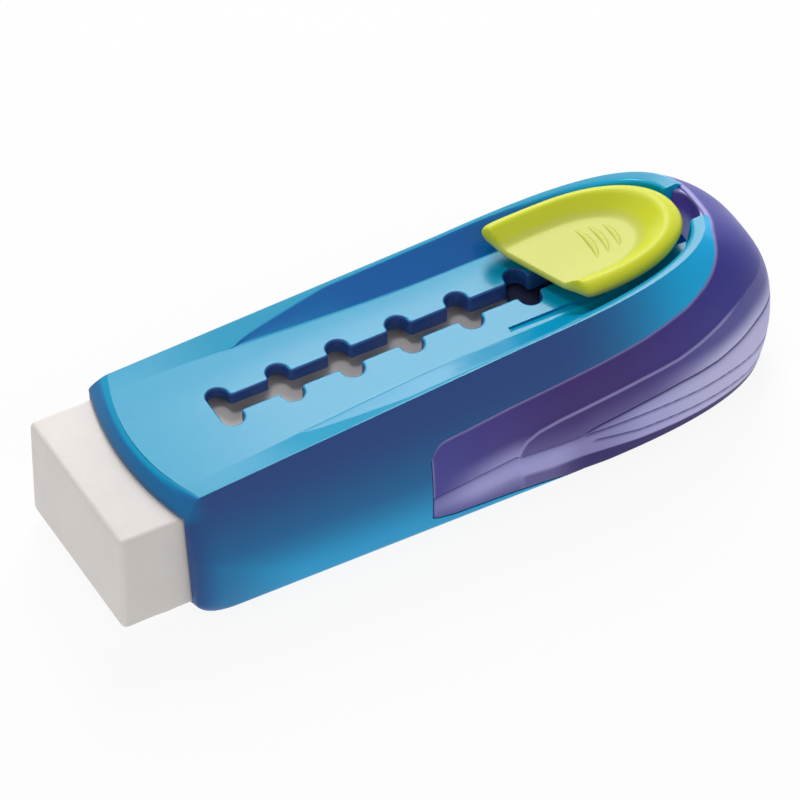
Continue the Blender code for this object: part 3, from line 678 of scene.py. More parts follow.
def distance_to_step(run, height):
    """Distance from the panel's border, negative inside the panel."""
    best = np.full(np.broadcast(run, height).shape, 1e3)
    border = list(zip(step_run, step_height))
    for (ax, ay), (bx, by) in zip(border[:-1], border[1:]):
        square = (bx - ax) ** 2 + (by - ay) ** 2
        along = clip(((run - ax) * (bx - ax) + (height - ay) * (by - ay)) / square)
        best = np.minimum(best, np.hypot(run - mix(ax, bx, along), height - mix(ay, by, along)))
    inside = (run > panel_start) & (height < np.interp(run, step_run, step_height))
    return np.where(inside, -best, best)


def step_profile(distance):
    """Nothing inside the panel, a quick drop at its border, then a slow return to the surface."""
    return rise(distance, *STEP_EASE) * (1 - rise(distance, 0.0, STEP_RETURN))


def parting_mark(t, level, run, top):
    """Dark along the parting line, from where the ribbed band starts."""
    begun = rise(run, run_of(t_of(*GROOVE_UPPER[0])), 1.5)
    return 0.85 * begun * bell((level - parting_level(t)) * top, PARTING_WIDTH)


def relief_upper(t, level, run, height):
    top, from_front = height / level, (t - first_t) * TAIL_START
    fade = 1 - rise(run, step_run[-3], step_run[-1] - step_run[-3])
    distance = distance_to_step(run, height)
    panel = 1 - rise(distance, -0.15, 0.3)
    low_down = 1 - rise((level - parting_level(t)) * top, 0.0, 3.0)
    ahead = rise(from_front, 0.0, 9.0) * (1 - rise(run, panel_start, 3.0))
    behind = rise(run, panel_start + 12.0, 14.0)
    # Painted sheen: lighter ahead of the panel and low down, and on the panel more so towards the tail.
    on_panel = 0.02 + 0.1 * behind + (0.18 + 0.75 * behind ** 2) * low_down
    painted_sheen = mix(0.8 * ahead * low_down, on_panel, panel)
    # Painted highlight lines along the panel's step and along the seam.
    from_seam = np.minimum((seam_level(t) - level) * top, from_front)
    edge = np.maximum(fade * bell(distance - 0.04, 0.1), bell(from_seam, 0.14))
    return STEP_DEPTH * fade * step_profile(distance), xyz(parting_mark(t, level, run, top), painted_sheen, edge)


def relief_lower(t, level, run, height):
    top, from_front = height / level, (t - first_t) * TAIL_START
    depth = STEP_DEPTH * step_profile(panel_start + 0.3 - run) * rise(height, 2.0, 1.2)
    tongue = rise(run, panel_start, 1.0)
    dark_from, dark_full = (run_of(t_of(x, BAND_EDGE[2][1])) for x in BAND_DARK)
    deep = rise(run, dark_from, dark_full - dark_from)
    band = tongue * smooth_step((band_edge(t) - level) * top / mix(0.8, 0.25, deep) + 0.5)
    # Dark along the parting joint, and below the band's edge, darker towards the rear.
    dark = np.maximum(parting_mark(t, level, run, top), band * mix(0.1, 1.0, deep))
    # The grooves are pressed in and painted dark, painted shade in their creases.
    for groove, start in ((groove_upper, GROOVE_UPPER[0]), (groove_lower, GROOVE_LOWER[0])):
        pressed = rise(run, run_of(t_of(*start)), 1.2) * bell((level - groove(t)) * top, GROOVE_WIDTH)
        depth, dark = depth + GROOVE_DEPTH * pressed, np.maximum(dark, 0.8 * pressed)
    # Painted sheen: lighter below the parting line, less in the band, near the front and low down off the
    # tongue.
    painted_sheen = mix(0.75, 1.0, rise((parting_level(t) - level) * top, 0.0, 1.4))
    painted_sheen = painted_sheen * (1 - mix(0.75, 1.0, deep) * band) * mix(0.45, 1.0, rise(from_front, 0.0, 6.0))
    painted_sheen = painted_sheen * mix(mix(0.15, 1.0, rise(height, 1.2, 2.6)), 1.0, tongue)
    painted_sheen = painted_sheen * (1 - 0.35 * rise(run, panel_start + 4.0, 4.0) * (1 - rise(run, panel_start + 9.0, 7.0)))
    return depth, xyz(dark, painted_sheen, 0.0)


print("panel starts", round(float(panel_start - run_of(first_t)), 1), "mm behind the front of the grip")

# %% Grip halves
EDGE_ROUND, PARTING_GAP, GRIP_POINTS = 0.22, 0.05, 300
EDGE_ROWS = np.array([0.0, 0.015, 0.05, 0.11, 0.2, 0.32])


def grip_half(name, lower, upper, relief, rows):
    """A half of the shell between two lines, with rows of points that close up towards its edges."""
    front = first_t + EDGE_ROWS / TAIL_START
    rings, marks = [], []
    for t in np.concatenate([front[:-1], even_stations(front[-1], GRIP_POINTS)]):
        low, high = float(lower(t)), float(upper(t))
        middle = (low + high) / 2
        top = float(side_points(t, middle)[2]) / middle
        edge = EDGE_ROWS / top
        between = np.linspace(low + edge[-1], high - edge[-1], rows)[1:-1]
        levels = np.concatenate([low + edge, between, high - edge[::-1]])
        height = levels * top
        from_edge = np.minimum(height - low * top, high * top - height)
        from_edge = np.minimum(from_edge, (t - first_t) * TAIL_START)
        rounding = EDGE_ROUND * (1 - np.sqrt(1 - (1 - clip(from_edge / EDGE_ROUND)) ** 2))
        depth, mark = relief(t, levels, run_of(t), height)
        inner_levels = np.linspace(high, low, 4)
        inside = side_points(t, inner_levels, grip_depth(inner_levels))
        rings.append(np.concatenate([side_points(t, levels, depth + rounding), inside]))
        marks.append(np.concatenate([mark, 0 * inside]))
    return loft(name, both_sides(rings), marks + marks[-2::-1])


half_gap = PARTING_GAP / FLOOR_FRONT
grip_upper = grip_half("grip_upper_skin", lambda t: parting_level(t) + half_gap, seam_level, relief_upper, 84)
grip_lower = grip_half("grip_lower_skin", foot_level, lambda t: parting_level(t) - half_gap, relief_lower, 36)
for grip in (grip_upper, grip_lower):
    smooth(grip, 60)
    tell(grip)

# %% [markdown]
# ## Lip of the cord eye
# Behind the button the grip bridges the gap between the rails, and a cord goes through beneath it. The
# bridge turns down into the eye as a thin lip, a violet pocket behind the lime rim.

# %% Lip of the cord eye
LIP_TOP, LIP_FOOT, LIP_THICKNESS, LIP_TOP_THICKNESS = (64.4, 19.2), (63.0, 15.4), 0.4, 0.35
LIP_CORNER, LIP_RIM, LIP_GAP, LIP_HOLLOW = 0.95, 0.05, 0.06, 0.5


def eye_lip():
    """A sheet across the eye: its upper edge is rounded at both ends and carries a painted highlight, and its
    foot is painted lighter, painted light in the shaded eye.
    """
    rings, marks = [], []
    steps = np.linspace(0, 1, 25)
    for y in np.linspace(LIP_GAP - EYE_HALF, EYE_HALF - LIP_GAP, 41):
        corner = LIP_CORNER * abs(y / EYE_HALF) ** 3
        hollow = LIP_HOLLOW * (1 - (y / EYE_HALF) ** 2)
        x = mix(LIP_TOP[0] - corner, LIP_FOOT[0] - corner / 2, steps) + hollow * np.sin(math.pi * steps)
        front = xyz(x, y, mix(LIP_TOP[1], LIP_FOOT[1], steps))
        rear = front[::-1] + [LIP_THICKNESS, 0.0, -0.1]
        rear[-1] = [LIP_TOP[0] + LIP_TOP_THICKNESS, y, LIP_TOP[1]]
        rings.append(np.concatenate([front, rear]))
        # Painted light: the foot is marked lighter and the top rows carry a painted highlight.
        mark = xyz(0.0, 0.7 * rise(steps, 0.45, 0.3), 1.0 * (steps < LIP_RIM))
        marks.append(np.concatenate([mark, 0 * mark]))
    return loft("eye_lip", rings, marks)


lip = eye_lip()
smooth(lip, 50)
tell(lip)

# %% [markdown]
# ## The thumb button
# The button is a shallow bowl cut off by a slanted front edge: a flat dish, walls that rise to the rim and
# a rounded underside. Each point's height follows from how far out it lies, so the front edge shows the
# bowl's true section.

# %% Button
BUTTON_AHEAD, BUTTON_BEHIND, BUTTON_HALF = 5.8, 10.95, 6.84
BOWL_REAR, BOWL_FRONT, BOWL_SQUARENESS = 11.9, 22.0, 2.18
BUTTON_LIFT, BUTTON_LIP, RIM_FRONT, RIM_REAR, NEAR_DROP = 1.15, 1.0, 2.68, 2.69, 0.4
FRONT_SLANT, FRONT_SHARPNESS = math.radians(22.2), 14.0
DISH_SHARE, CREST_NEAR, CREST_FAR, WALL_EASE = 0.55, 0.85, 0.87, 0.24
RIM_INSET, DISH_INSET, RIM_SHARE, DISH_SINK = 0.24, 0.7, 0.56, 0.06
UNDERSIDE = ((0.45, 0.6, 0.0), (0.31, 0.42, 0.02), (0.18, 0.22, 0.10), (0.07, 0.07, 0.28))
BUTTON_POINTS = 240
waist = LAST_NOTCH + BUTTON_BEHIND - BOWL_REAR
button_bottom = float(floor_z(LAST_NOTCH)) + BUTTON_LIFT


def bowl_share(x, y):
    run = np.where(x > waist, BOWL_REAR, BOWL_FRONT)
    power = BOWL_SQUARENESS
    return (np.abs((x - waist) / run) ** power + np.abs(y / BUTTON_HALF) ** power) ** (1 / power)


def crest_share(x, y):
    """How far out the rim's crest lies, further in on the near side."""
    across = y / BUTTON_HALF / np.maximum(bowl_share(x, y), 1e-6)
    return mix(CREST_NEAR, CREST_FAR, smooth_step(0.5 + 0.7 * across))


def wall_profile(share):
    """0 at the dish and 1 at the crest, straight between two eased ends."""
    share, ease = clip(share), WALL_EASE
    bend = 2 * ease * (1 - ease)
    straight = (share - ease / 2) / (1 - ease)
    upper = np.where(share > 1 - ease, 1 - (1 - share) ** 2 / bend, straight)
    return np.where(share < ease, share ** 2 / bend, upper)


def bowl_height(x, y):
    back_share = (x - LAST_NOTCH + BUTTON_AHEAD) / (BUTTON_BEHIND + BUTTON_AHEAD)
    rim = mix(RIM_FRONT, RIM_REAR, clip(back_share))
    rim = rim - NEAR_DROP * smooth_step(-y / BUTTON_HALF) * smooth_step(1 - back_share)
    wall = (bowl_share(x, y) - DISH_SHARE) / (crest_share(x, y) - DISH_SHARE)
    return mix(BUTTON_LIP, rim, wall_profile(wall))


def button_ring(crest_to_dish, front_inset, outwards=0.0):
    """A ring between the crest (0) and the dish (1), or outwards to the widest line (1)."""
    ahead = (waist - LAST_NOTCH + BUTTON_AHEAD) * math.cos(FRONT_SLANT) - front_inset
    turn = np.linspace(0, 2 * math.pi, BUTTON_POINTS, endpoint=False)
    along, across = np.cos(turn), np.sin(turn)
    crest = crest_share(waist + along, across)
    share = mix(mix(crest, DISH_SHARE, crest_to_dish), 1.0, outwards)
    bowl = bowl_share(waist + along, across) / share
    facing = np.maximum(0.0, -along * math.cos(FRONT_SLANT) - across * math.sin(FRONT_SLANT)) / ahead
    radius = (bowl ** FRONT_SHARPNESS + facing ** FRONT_SHARPNESS) ** (-1 / FRONT_SHARPNESS)
    return waist + radius * along, radius * across


def button_rings():
    edge_height = bowl_height(*button_ring(0.0, 0.0, 1.0))
    rings = []
    for narrow, inset, part in UNDERSIDE:
        x, y = mix(np.array(button_ring(0.0, inset, 1.0)), np.array(button_ring(1.0, inset)), narrow)
        rings.append(xyz(x, y, button_bottom + part * edge_height))
    for turn in quarter(12)[:-1]:
        x, y = button_ring(0.0, RIM_INSET * (1 - math.cos(turn)), math.cos(turn))
        rings.append(xyz(x, y, button_bottom + mix(RIM_SHARE, 1.0, math.sin(turn)) * edge_height))
    inwards = np.concatenate([np.linspace(0, 1, 24), [1.1, 1.2]])
    for i, share in enumerate(inwards):
        x, y = button_ring(share, mix(RIM_INSET, DISH_INSET, i / (len(inwards) - 1)))
        rings.append(xyz(x, y, button_bottom + bowl_height(x, y)))
    middle = np.array([waist, 0.0, button_bottom + BUTTON_LIP - DISH_SINK])
    return rings + [mix(middle, rings[-1], share) for share in (0.8, 0.6, 0.4, 0.2, 0.06)]


def add_block(obj, low, high):
    """Joins a plain block to a mesh, for the button's neck and foot below the floor."""
    data = bmesh.new()
    data.from_mesh(obj.data)
    for vert in bmesh.ops.create_cube(data, size=1.0)["verts"]:
        vert.co = in_frame(*(mix(low[k], high[k], vert.co[k] + 0.5) for k in range(3)))
    data.to_mesh(obj.data)
    data.free()


button = loft("button", button_rings())
neck_front = LAST_NOTCH + NOTCH_LENGTH / 2 + 0.3
for half, low, high in ((0.8, 13.9, button_bottom + 0.5), (1.55, 13.4, 14.3)):
    add_block(button, (neck_front, -half, low), (neck_front + 3.0, half, high))
smooth(button, 40)
tell(button)

# %% [markdown]
# ## Node helpers
# Ribs, finishes, floor and world are drawn by nodes. One small class adds a node, fills its inputs and
# hands back its outputs, so that a tree reads like a formula.

# %% Helpers that add nodes
class Nodes:
    """A node tree that is being built."""

    def __init__(self, tree):
        self.tree = tree

    def fill(self, node, inputs):
        for key, value in inputs.items():
            if isinstance(value, bpy.types.NodeSocket):
                self.tree.links.new(value, node.inputs[key])
            else:
                node.inputs[key].default_value = value
        return node.outputs

    def add(self, kind, inputs=None):
        return self.fill(self.tree.nodes.new(kind), inputs or {})

    def math(self, operation, *values):
        node = self.tree.nodes.new("ShaderNodeMath")
        node.operation = operation
        return self.fill(node, dict(enumerate(values)))[0]

    def span(self, value, low, high):
        """A 0 to 1 value spread between two numbers."""
        return self.add("ShaderNodeMapRange", {"Value": value, "To Min": low, "To Max": high})["Result"]


# %% [markdown]
# ## Ribs for the thumb
# Three crescents in the dish keep the thumb from slipping. Geometry Nodes draws one arc, gives it a section
# that swells in the middle and repeats it along a line.

# %% Ribs
RIB_SPACING, RIB_RADIUS, RIB_BEND, RIB_FLATNESS, RIB_SHRINK = 1.35, 0.45, 5.6, 0.5, 0.92
RIB_X, RIB_Y, RIB_SINK, RIB_SWELL = 52.5, 0.25, 0.07, 0.8
RIBS = {
    "Count": ("NodeSocketInt", 3),
    "Spacing": ("NodeSocketVector", ((RIB_SPACING + RIB_BEND * (1 - RIB_SHRINK)) * MM, 0.0, 0.0)),
    "Bend Radius": ("NodeSocketFloat", RIB_BEND * MM),
    "Sweep": ("NodeSocketFloat", math.radians(58)),
    "Rib Radius": ("NodeSocketFloat", RIB_RADIUS * MM),
    "Shrink": ("NodeSocketFloat", RIB_SHRINK),
}


def rib_tree(finish):
    tree = bpy.data.node_groups.new("thumb_ribs", "GeometryNodeTree")
    tree.interface.new_socket("Geometry", in_out="OUTPUT", socket_type="NodeSocketGeometry")
    for label, (kind, _) in RIBS.items():
        tree.interface.new_socket(label, in_out="INPUT", socket_type=kind)
    nodes = Nodes(tree)
    given = nodes.add("NodeGroupInput")
    arc = nodes.add("GeometryNodeCurveArc", {
        "Resolution": 40, "Radius": given["Bend Radius"], "Sweep Angle": given["Sweep"],
        "Start Angle": nodes.math("MULTIPLY", given["Sweep"], -0.5)})
    turn = nodes.math("MULTIPLY", nodes.add("GeometryNodeSplineParameter")["Factor"], math.pi)
    swell = nodes.math("POWER", nodes.math("SINE", turn), RIB_SWELL)
    section = nodes.add("GeometryNodeCurvePrimitiveCircle", {"Resolution": 14, "Radius": given["Rib Radius"]})
    skin = nodes.add("GeometryNodeCurveToMesh", {
        "Curve": arc["Curve"], "Profile Curve": section["Curve"], "Scale": swell, "Fill Caps": True})
    row = nodes.add("GeometryNodeMeshLine", {"Count": given["Count"], "Offset": given["Spacing"]})
    scale = nodes.math("POWER", given["Shrink"], nodes.add("GeometryNodeInputIndex")["Index"])
    copies = nodes.add("GeometryNodeInstanceOnPoints", {
        "Points": row["Mesh"], "Instance": skin["Mesh"], "Scale": scale})
    real = nodes.add("GeometryNodeRealizeInstances", {"Geometry": copies["Instances"]})
    painted = nodes.add("GeometryNodeSetMaterial", {"Geometry": real["Geometry"], "Material": finish})
    nodes.add("NodeGroupOutput", {"Geometry": painted["Geometry"]})
    return tree


lime = bpy.data.materials.new("lime")
ribs = show("thumb_ribs", bpy.data.meshes.new("thumb_ribs"))
modifier = ribs.modifiers.new("thumb_ribs", "NODES")
modifier.node_group = rib_tree(lime)
for item in modifier.node_group.interface.items_tree:
    if item.in_out == "INPUT":
        modifier[item.identifier] = RIBS[item.name][1]
settle(ribs)
rib_place = Vector(in_frame(RIB_X - RIB_BEND, RIB_Y, button_bottom + BUTTON_LIP - RIB_SINK))
ribs.data.transform(Matrix.Translation(rib_place) @ Matrix.Diagonal((1.0, 1.0, RIB_FLATNESS, 1.0)))
smooth(ribs, 60)
tell(ribs)

# %% [markdown]
# ## The eraser
# A block of white vinyl, cut from a long bar: its edges are only slightly rounded and its faces are not
# quite flat. Rings of a rounded rectangle run along it, with tiny waves pressed in.

# %% Eraser
ERASER_FRONT, ERASER_REAR, ERASER_HALF, ERASER_BOTTOM = -6.5, 45.5, 10.0, 1.15
ERASER_ROUND, ERASER_END, WAVE = 0.55, 1.2, 0.03


def eraser_ring(x, shrink):
    radius = max(ERASER_ROUND - shrink * 0.3, 0.15)
    half, low, high = ERASER_HALF - shrink, ERASER_BOTTOM + shrink, ERASER_TOP - shrink
    ring = []
    for y, z in rounded_rectangle((-half, low), (half, high), radius, 7):
        wave = WAVE * math.sin(0.9 * x + 0.5 * z) + WAVE * math.sin(0.45 * y - 0.6 * x)
        ring.append((x, y * (1 - abs(wave) / half), z - math.copysign(wave, z - (low + high) / 2)))
    return np.array(ring)


end = [(ERASER_ROUND * (1 - math.cos(turn)), ERASER_ROUND * (1 - math.sin(turn))) for turn in quarter(7)]
rings = [eraser_ring(ERASER_FRONT + inwards, shrink) for inwards, shrink in end]
rings += [eraser_ring(x, 0.0) for x in np.linspace(ERASER_FRONT + ERASER_END, ERASER_REAR - ERASER_END, 40)]
rings += [eraser_ring(ERASER_REAR - inwards, shrink) for inwards, shrink in end[::-1]]
eraser = loft("eraser_block", rings)
smooth(eraser, 40)
tell(eraser)

# %% [markdown]
# ## The lock spring
# A leaf inside the case holds a lug up in a notch, and the button bends it down to free the slide. It keeps
# its CAD shape, with fine cuts across the short length where it bends.

# %% Lock spring
LEAF_BEND, LEAF_CUTS = (23.9, 23.1), 13


def bending_leaf(name, node):
    data = bmesh.new()
    data.from_mesh(node.data)
    data.transform(node.matrix_world)
    bmesh.ops.remove_doubles(data, verts=data.verts, dist=0.001 * MM)
    for x in np.linspace(*LEAF_BEND, LEAF_CUTS):
        whole = data.verts[:] + data.edges[:] + data.faces[:]
        plane = {"plane_co": (x * MM, 0, 0), "plane_no": (1, 0, 0)}
        bmesh.ops.bisect_plane(data, geom=whole, dist=0.0001 * MM, **plane)
    return keep(name, data)


leaf = bending_leaf("lock_leaf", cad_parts["lock_spring"])
smooth(leaf, 40)
tell(leaf)

# %% [markdown]
# ## Finishes
# Moulded plastic is never one flat colour. The blue is painted deeper high on the sides, on the inner walls
# and round the mouth, painted shade where the light falls away. It clears towards the foot and brightens
# towards the tail, a painted reflection. The purple carries painted sheen and painted highlight lines, the
# lip's purple is painted lighter, and the lime is painted whiter up to the dish, a painted highlight. All the
# finishes read Object coordinates and the pieces' own marks, so the patterns stay put when a piece moves.

# %% Material helpers
def srgb(*screen):
    """A colour as it is seen on a screen, 0 to 255, in the linear values that shaders use."""
    return (*(c / 255 / 12.92 if c <= 10 else ((c / 255 + 0.055) / 1.055) ** 2.4 for c in screen), 1.0)


class Finish(Nodes):
    """A material that is being built. Places are in metres, in the piece's Object coordinates."""

    def __init__(self, material):
        self.material = material
        material.use_nodes = True
        super().__init__(material.node_tree)
        self.tree.nodes.clear()
        self.place = self.add("ShaderNodeTexCoord")["Object"]
        self.x, self.y, self.z = self.add("ShaderNodeSeparateXYZ", {0: self.place})

    def less(self, value):
        return self.math("SUBTRACT", 1.0, value)

    def product(self, total, *values):
        for value in values:
            total = self.math("MULTIPLY", total, value)
        return total

    def ramp(self, value, low, high):
        """0 below a low value and 1 above a high one, eased."""
        node = self.tree.nodes.new("ShaderNodeMapRange")
        node.interpolation_type = "SMOOTHSTEP"
        return self.fill(node, {"Value": value, "From Min": low, "From Max": high})["Result"]

    def mark(self, name):
        node = self.tree.nodes.new("ShaderNodeAttribute")
        node.attribute_name = name
        return node.outputs["Fac"]

    def noise(self, scale, detail=3.0):
        given = {"Vector": self.place, "Scale": scale, "Detail": detail}
        return self.add("ShaderNodeTexNoise", given)["Fac"]

    def blend(self, share, first, second):
        node = self.tree.nodes.new("ShaderNodeMix")
        node.data_type = "RGBA"
        return self.fill(node, {0: share, 6: first, 7: second})[2]

    def coats(self, colour, *coats):
        """Coats laid over a colour, each where its share says so."""
        for share, coat in coats:
            colour = self.blend(share, colour, coat)
        return colour

    def grain(self, scale, low, high):
        return self.span(self.noise(scale), low, high)

    def dents(self, scale, strength, distance=0.0002, detail=3.0):
        given = {"Height": self.noise(scale, detail), "Strength": strength, "Distance": distance}
        return self.add("ShaderNodeBump", given)["Normal"]

    def close(self, colour, roughness, normal, constants):
        given = {"Base Color": colour, "Roughness": roughness, "Normal": normal, **constants}
        shader = self.add("ShaderNodeBsdfPrincipled", given)["BSDF"]
        self.add("ShaderNodeOutputMaterial", {"Surface": shader})
        return self.material


LIME_RIM = srgb(200, 206, 45)
print("lime rim in linear values:", [round(c, 3) for c in LIME_RIM[:3]])

# %% Glossy blue of the case
LOW_GLOSS = {"Specular IOR Level": 0.2}


def glossy_blue():
    f = Finish(bpy.data.materials.new("glossy_blue"))
    x, y, z, wall = f.x, f.y, f.z, f.mark("wall")
    # Painted shade on the walls: the blue deepens with height (from lower down near the front), turns navy at
    # the top and dark round the mouth's rounded edge.
    front = f.less(f.ramp(x, -0.0325, -0.018))
    shaded_sides = f.product(wall, f.less(f.ramp(x, 0.008, 0.028)))
    middle = f.product(shaded_sides, f.math("MAXIMUM", f.ramp(z, 0.001, 0.0085), front))
    upper = f.product(shaded_sides, f.ramp(z, 0.0065, 0.0155), f.ramp(x, -0.0318, -0.0290))
    mouth = f.product(wall, f.less(f.ramp(x, -0.0322, -0.0285)), f.less(f.ramp(z, 0.0125, 0.0145)), 0.8)
    clear = f.blend(f.noise(120.0), srgb(0, 145, 184), srgb(4, 150, 189))
    # The walls' cyan brightens towards the tail, a painted reflection.
    low = f.blend(f.ramp(x, 0.012, 0.03), srgb(0, 160, 216), srgb(0, 174, 232))
    # The navy is deeper on the near side, painted shade on the side turned away from the key lamp.
    deep = f.blend(f.ramp(y, 0.003, 0.006), srgb(40, 74, 136), srgb(16, 88, 158))
    colour = f.coats(
        clear, (wall, low), (middle, srgb(12, 104, 160)), (upper, deep), (mouth, srgb(34, 50, 112)))
    polish = f.product(f.ramp(x, -0.034, -0.010), f.less(f.ramp(y, 0.001, 0.006)))
    worn = f.product(f.less(f.math("MAXIMUM", polish, wall)), 0.2)
    roughness = f.math("ADD", f.grain(900.0, 0.12, 0.2), worn)
    return f.close(colour, roughness, f.dents(700.0, 0.03), LOW_GLOSS)


blue = glossy_blue()
print("nodes of the blue:", len(blue.node_tree.nodes))

# %% Soft purple of the grip
# The lip's purple is painted much lighter than the grip's, to stand in for light inside the shaded eye.
LIGHTENED_LIP_PURPLE = srgb(118, 92, 204)


def soft_purple(name, main, front, tail):
    f = Finish(bpy.data.materials.new(name))
    # Painted highlight: the sheen is lightest over this stretch along the case.
    brightest_sheen_zone = f.product(f.ramp(f.x, 0.016, 0.03), f.less(f.ramp(f.x, 0.033, 0.039)))
    painted_sheen_colour = f.blend(brightest_sheen_zone, srgb(163, 161, 219), srgb(192, 190, 232))
    colour = f.coats(
        front,
        (f.ramp(f.x, -0.005, 0.012), main),
        (f.ramp(f.x, 0.014, 0.034), tail),
        (f.product(f.noise(260.0), 0.15), srgb(92, 74, 152)),
        # The marked painted sheen.
        (f.mark("painted_sheen"), painted_sheen_colour),
        # Painted highlight lines along the marked edges.
        (f.product(f.mark("edge"), 0.85), srgb(172, 166, 220)),
        # Dark marks: the parting joint, the band below its edge, and painted shade in the grooves.
        (f.mark("dark"), srgb(26, 6, 100)),
    )
    return f.close(colour, f.grain(1500.0, 0.30, 0.42), f.dents(4200.0, 0.05), LOW_GLOSS)


purple = soft_purple("soft_purple", srgb(58, 34, 112), srgb(68, 66, 148), srgb(46, 48, 143))
lightened_purple_lip = soft_purple("soft_purple_lightened_lip", LIGHTENED_LIP_PURPLE, LIGHTENED_LIP_PURPLE, LIGHTENED_LIP_PURPLE)
print("nodes of the purple:", len(purple.node_tree.nodes))

# %% Lime, vinyl and the plastics inside
def fill_lime():
    f = Finish(lime)
    dish, rim = ((button_bottom + height) * MM for height in (BUTTON_LIP + 0.1, RIM_REAR))
    colour = f.blend(f.noise(180.0), srgb(194, 199, 88), srgb(200, 204, 96))
    # Up to the dish the lime is painted whiter, a painted highlight of the light on the dish's floor; higher
    # up the walls and rim turn to the full lime.
    colour = f.blend(f.ramp(f.z, dish, mix(dish, rim, 0.4)), colour, LIME_RIM)
    f.close(colour, f.grain(1800.0, 0.34, 0.46), f.dents(2600.0, 0.06), {"Specular IOR Level": 0.22})


def two_tone(name, shades, patches, grain, dents, constants):
    """A plain plastic in soft patches of two shades."""
    f = Finish(bpy.data.materials.new(name))
    colour = f.blend(f.noise(*patches), *(srgb(*shade) for shade in shades))
    return f.close(colour, f.grain(*grain), f.dents(*dents), constants)


def dress(obj, material):
    obj.data.materials.clear()
    obj.data.materials.append(material)


fill_lime()
vinyl, spring, satin, dark = (two_tone(*row) for row in (
    ("white_vinyl", ((212, 206, 202), (222, 217, 213)), (220.0, 5.0), (1200.0, 0.55, 0.72),
     (1600.0, 0.12, 0.0003, 5.0), {"Subsurface Weight": 0.15, "Subsurface Radius": (0.002, 0.0018, 0.0016)}),
    ("spring_plastic", ((196, 200, 196), (208, 211, 206)), (200.0,), (1500.0, 0.29, 0.41), (2500.0, 0.1), {}),
    ("satin_blue", ((0, 112, 176), (8, 124, 188)), (160.0,), (2200.0, 0.36, 0.5), (3000.0, 0.12), {}),
    ("dark_plastic", ((30, 32, 60), (40, 42, 74)), (200.0,), (1500.0, 0.34, 0.46), (2500.0, 0.1), {}),
))
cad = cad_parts
for piece, material in (
    (case, blue), (grip_upper, purple), (grip_lower, purple), (lip, lightened_purple_lip), (button, lime), (ribs, lime),
    (eraser, vinyl), (leaf, spring), (cad["base_plate"], satin), (cad["carriage"], dark),
):
    dress(piece, material)
print("finishes:", sorted(material.name for material in bpy.data.materials))

# %% [markdown]
# ## Riding on the bodies
# Every piece is tied to the CAD body that carries it, and the CAD nodes that the new pieces stand for are
# hidden. The leaf is tied to no body: its place is baked into its mesh.

# %% Tie the pieces to the bodies
for piece, node, body, slot_name in (
    (case, "case_shell", "case", "glossy_blue"),
    (grip_upper, "grip_upper", "case", "soft_purple"),
    (grip_lower, "grip_lower", "case", "soft_purple"),
    (button, "thumb_button", "button", "lime"),
    (eraser, "eraser", "slider", "white_vinyl"),
):
    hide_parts(node)
    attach(piece, body)
for piece, body, slot_name in ((ribs, "button", "lime"), (lip, "case", "soft_purple")):
    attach(piece, body)
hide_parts("lock_spring")
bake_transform(leaf)

# %% [markdown]
# ## Floor and light
# One big soft light stands behind the case on the right, at the mirror angle of the flat top, so the top
# looks pale and the near side deep. A lamp overhead reaches into the slot, a low strip behind lights the
# near inner wall, and three weak lamps fill the rest. The floor glows like a light table and is clear from
# below.

# %% Floor, lamps and world
FLOOR_GAP, FLOOR_HALF, PAPER = 0.00005, 1.5, (0.8, 0.8, 0.8, 1)
FLOOR_GLOW, WORLD_GLOW = (0.82, 0.9), (0.2, 1.0)
LAMP_DISTANCE = 0.6
LAMPS = (
    ("key", (0.319, 0.603, 0.731), (0.22, 0.36), 2.5),
    ("front_strip", (0.1, -0.75, 0.65), (0.8, 0.15), 0.7),
    ("back_strip", (0.336, 0.93, 0.2), (0.9, 0.12), 1.1),
    ("overhead", (-0.12, 0.12, 0.985), (0.12, 0.12), 0.75),
    ("left_fill", (-0.9, -0.25, 0.3), (0.4, 0.3), 0.76),
    ("right_rim", (0.9, 0.3, 0.3), (0.4, 0.3), 0.35),
)


def area_light(name, direction, size, power):
    lamp = bpy.data.lights.new(name, "AREA")
    lamp.shape = "RECTANGLE"
    lamp.size, lamp.size_y = size
    lamp.energy = power
    obj = show(name, lamp)
    direction = Vector(direction).normalized()
    obj.location = direction * LAMP_DISTANCE
    obj.rotation_euler = direction.to_track_quat("Z", "Y").to_euler()


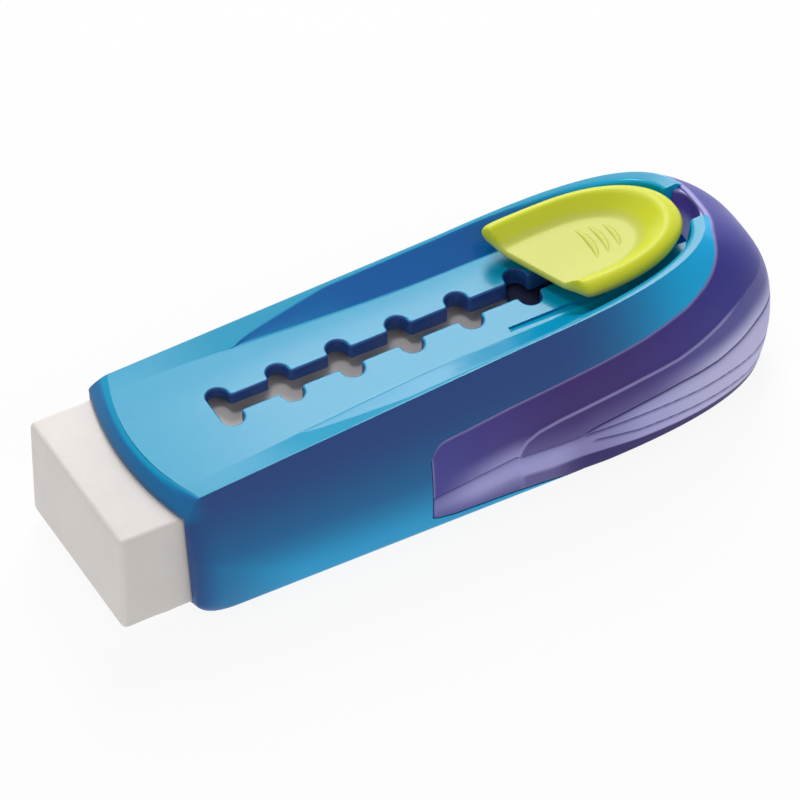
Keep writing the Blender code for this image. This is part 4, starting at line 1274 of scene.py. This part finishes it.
def background_ray(nodes):
    """1 for rays that show the background: straight from the camera, mirrored or through glass."""
    paths = nodes.add("ShaderNodeLightPath")
    seen = nodes.math("MAXIMUM", paths["Is Camera Ray"], paths["Is Glossy Ray"])
    return nodes.math("MAXIMUM", seen, paths["Is Transmission Ray"])


def light_table():
    mesh = bpy.data.meshes.new("floor")
    corners = [(-1, -1), (1, -1), (1, 1), (-1, 1)]
    mesh.from_pydata([(x * FLOOR_HALF, y * FLOOR_HALF, -FLOOR_GAP) for x, y in corners], [], [(0, 1, 2, 3)])
    floor = show("floor", mesh)
    material = bpy.data.materials.new("light_table")
    material.use_nodes = True
    material.node_tree.nodes.clear()
    nodes = Nodes(material.node_tree)
    share = nodes.span(background_ray(nodes), *FLOOR_GLOW)
    paper = nodes.add("ShaderNodeBsdfDiffuse", {"Color": PAPER})[0]
    glow = nodes.add("ShaderNodeEmission")[0]
    lit = nodes.add("ShaderNodeMixShader", {0: share, 1: paper, 2: glow})[0]
    below = nodes.add("ShaderNodeNewGeometry")["Backfacing"]
    clear = nodes.add("ShaderNodeBsdfTransparent")[0]
    one_way = nodes.add("ShaderNodeMixShader", {0: below, 1: lit, 2: clear})[0]
    nodes.add("ShaderNodeOutputMaterial", {"Surface": one_way})
    mesh.materials.append(material)
    floor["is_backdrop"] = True


def white_world():
    world = bpy.data.worlds.new("studio")
    world.use_nodes = True
    tree = world.node_tree
    background = tree.nodes["Background"]
    background.inputs["Color"].default_value = (1, 1, 1, 1)
    nodes = Nodes(tree)
    tree.links.new(nodes.span(background_ray(nodes), *WORLD_GLOW), background.inputs["Strength"])
    bpy.context.scene.world = world


light_table()
white_world()
for lamp in LAMPS:
    area_light(*lamp)
bpy.context.scene.view_settings.view_transform = "Standard"

# %% [markdown]
# ## Last look at the size
# The dressed part is held against the CAD model's box, and the largest step outside it is printed.

# %% Sizes and finish
visual_box = [list(corner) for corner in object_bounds()]
below = max(c - v for c, v in zip(cad_box[0], visual_box[0]))
above = max(v - c for c, v in zip(cad_box[1], visual_box[1]))
print("largest step outside the CAD box, mm:", round(1000 * max(below, above), 3))
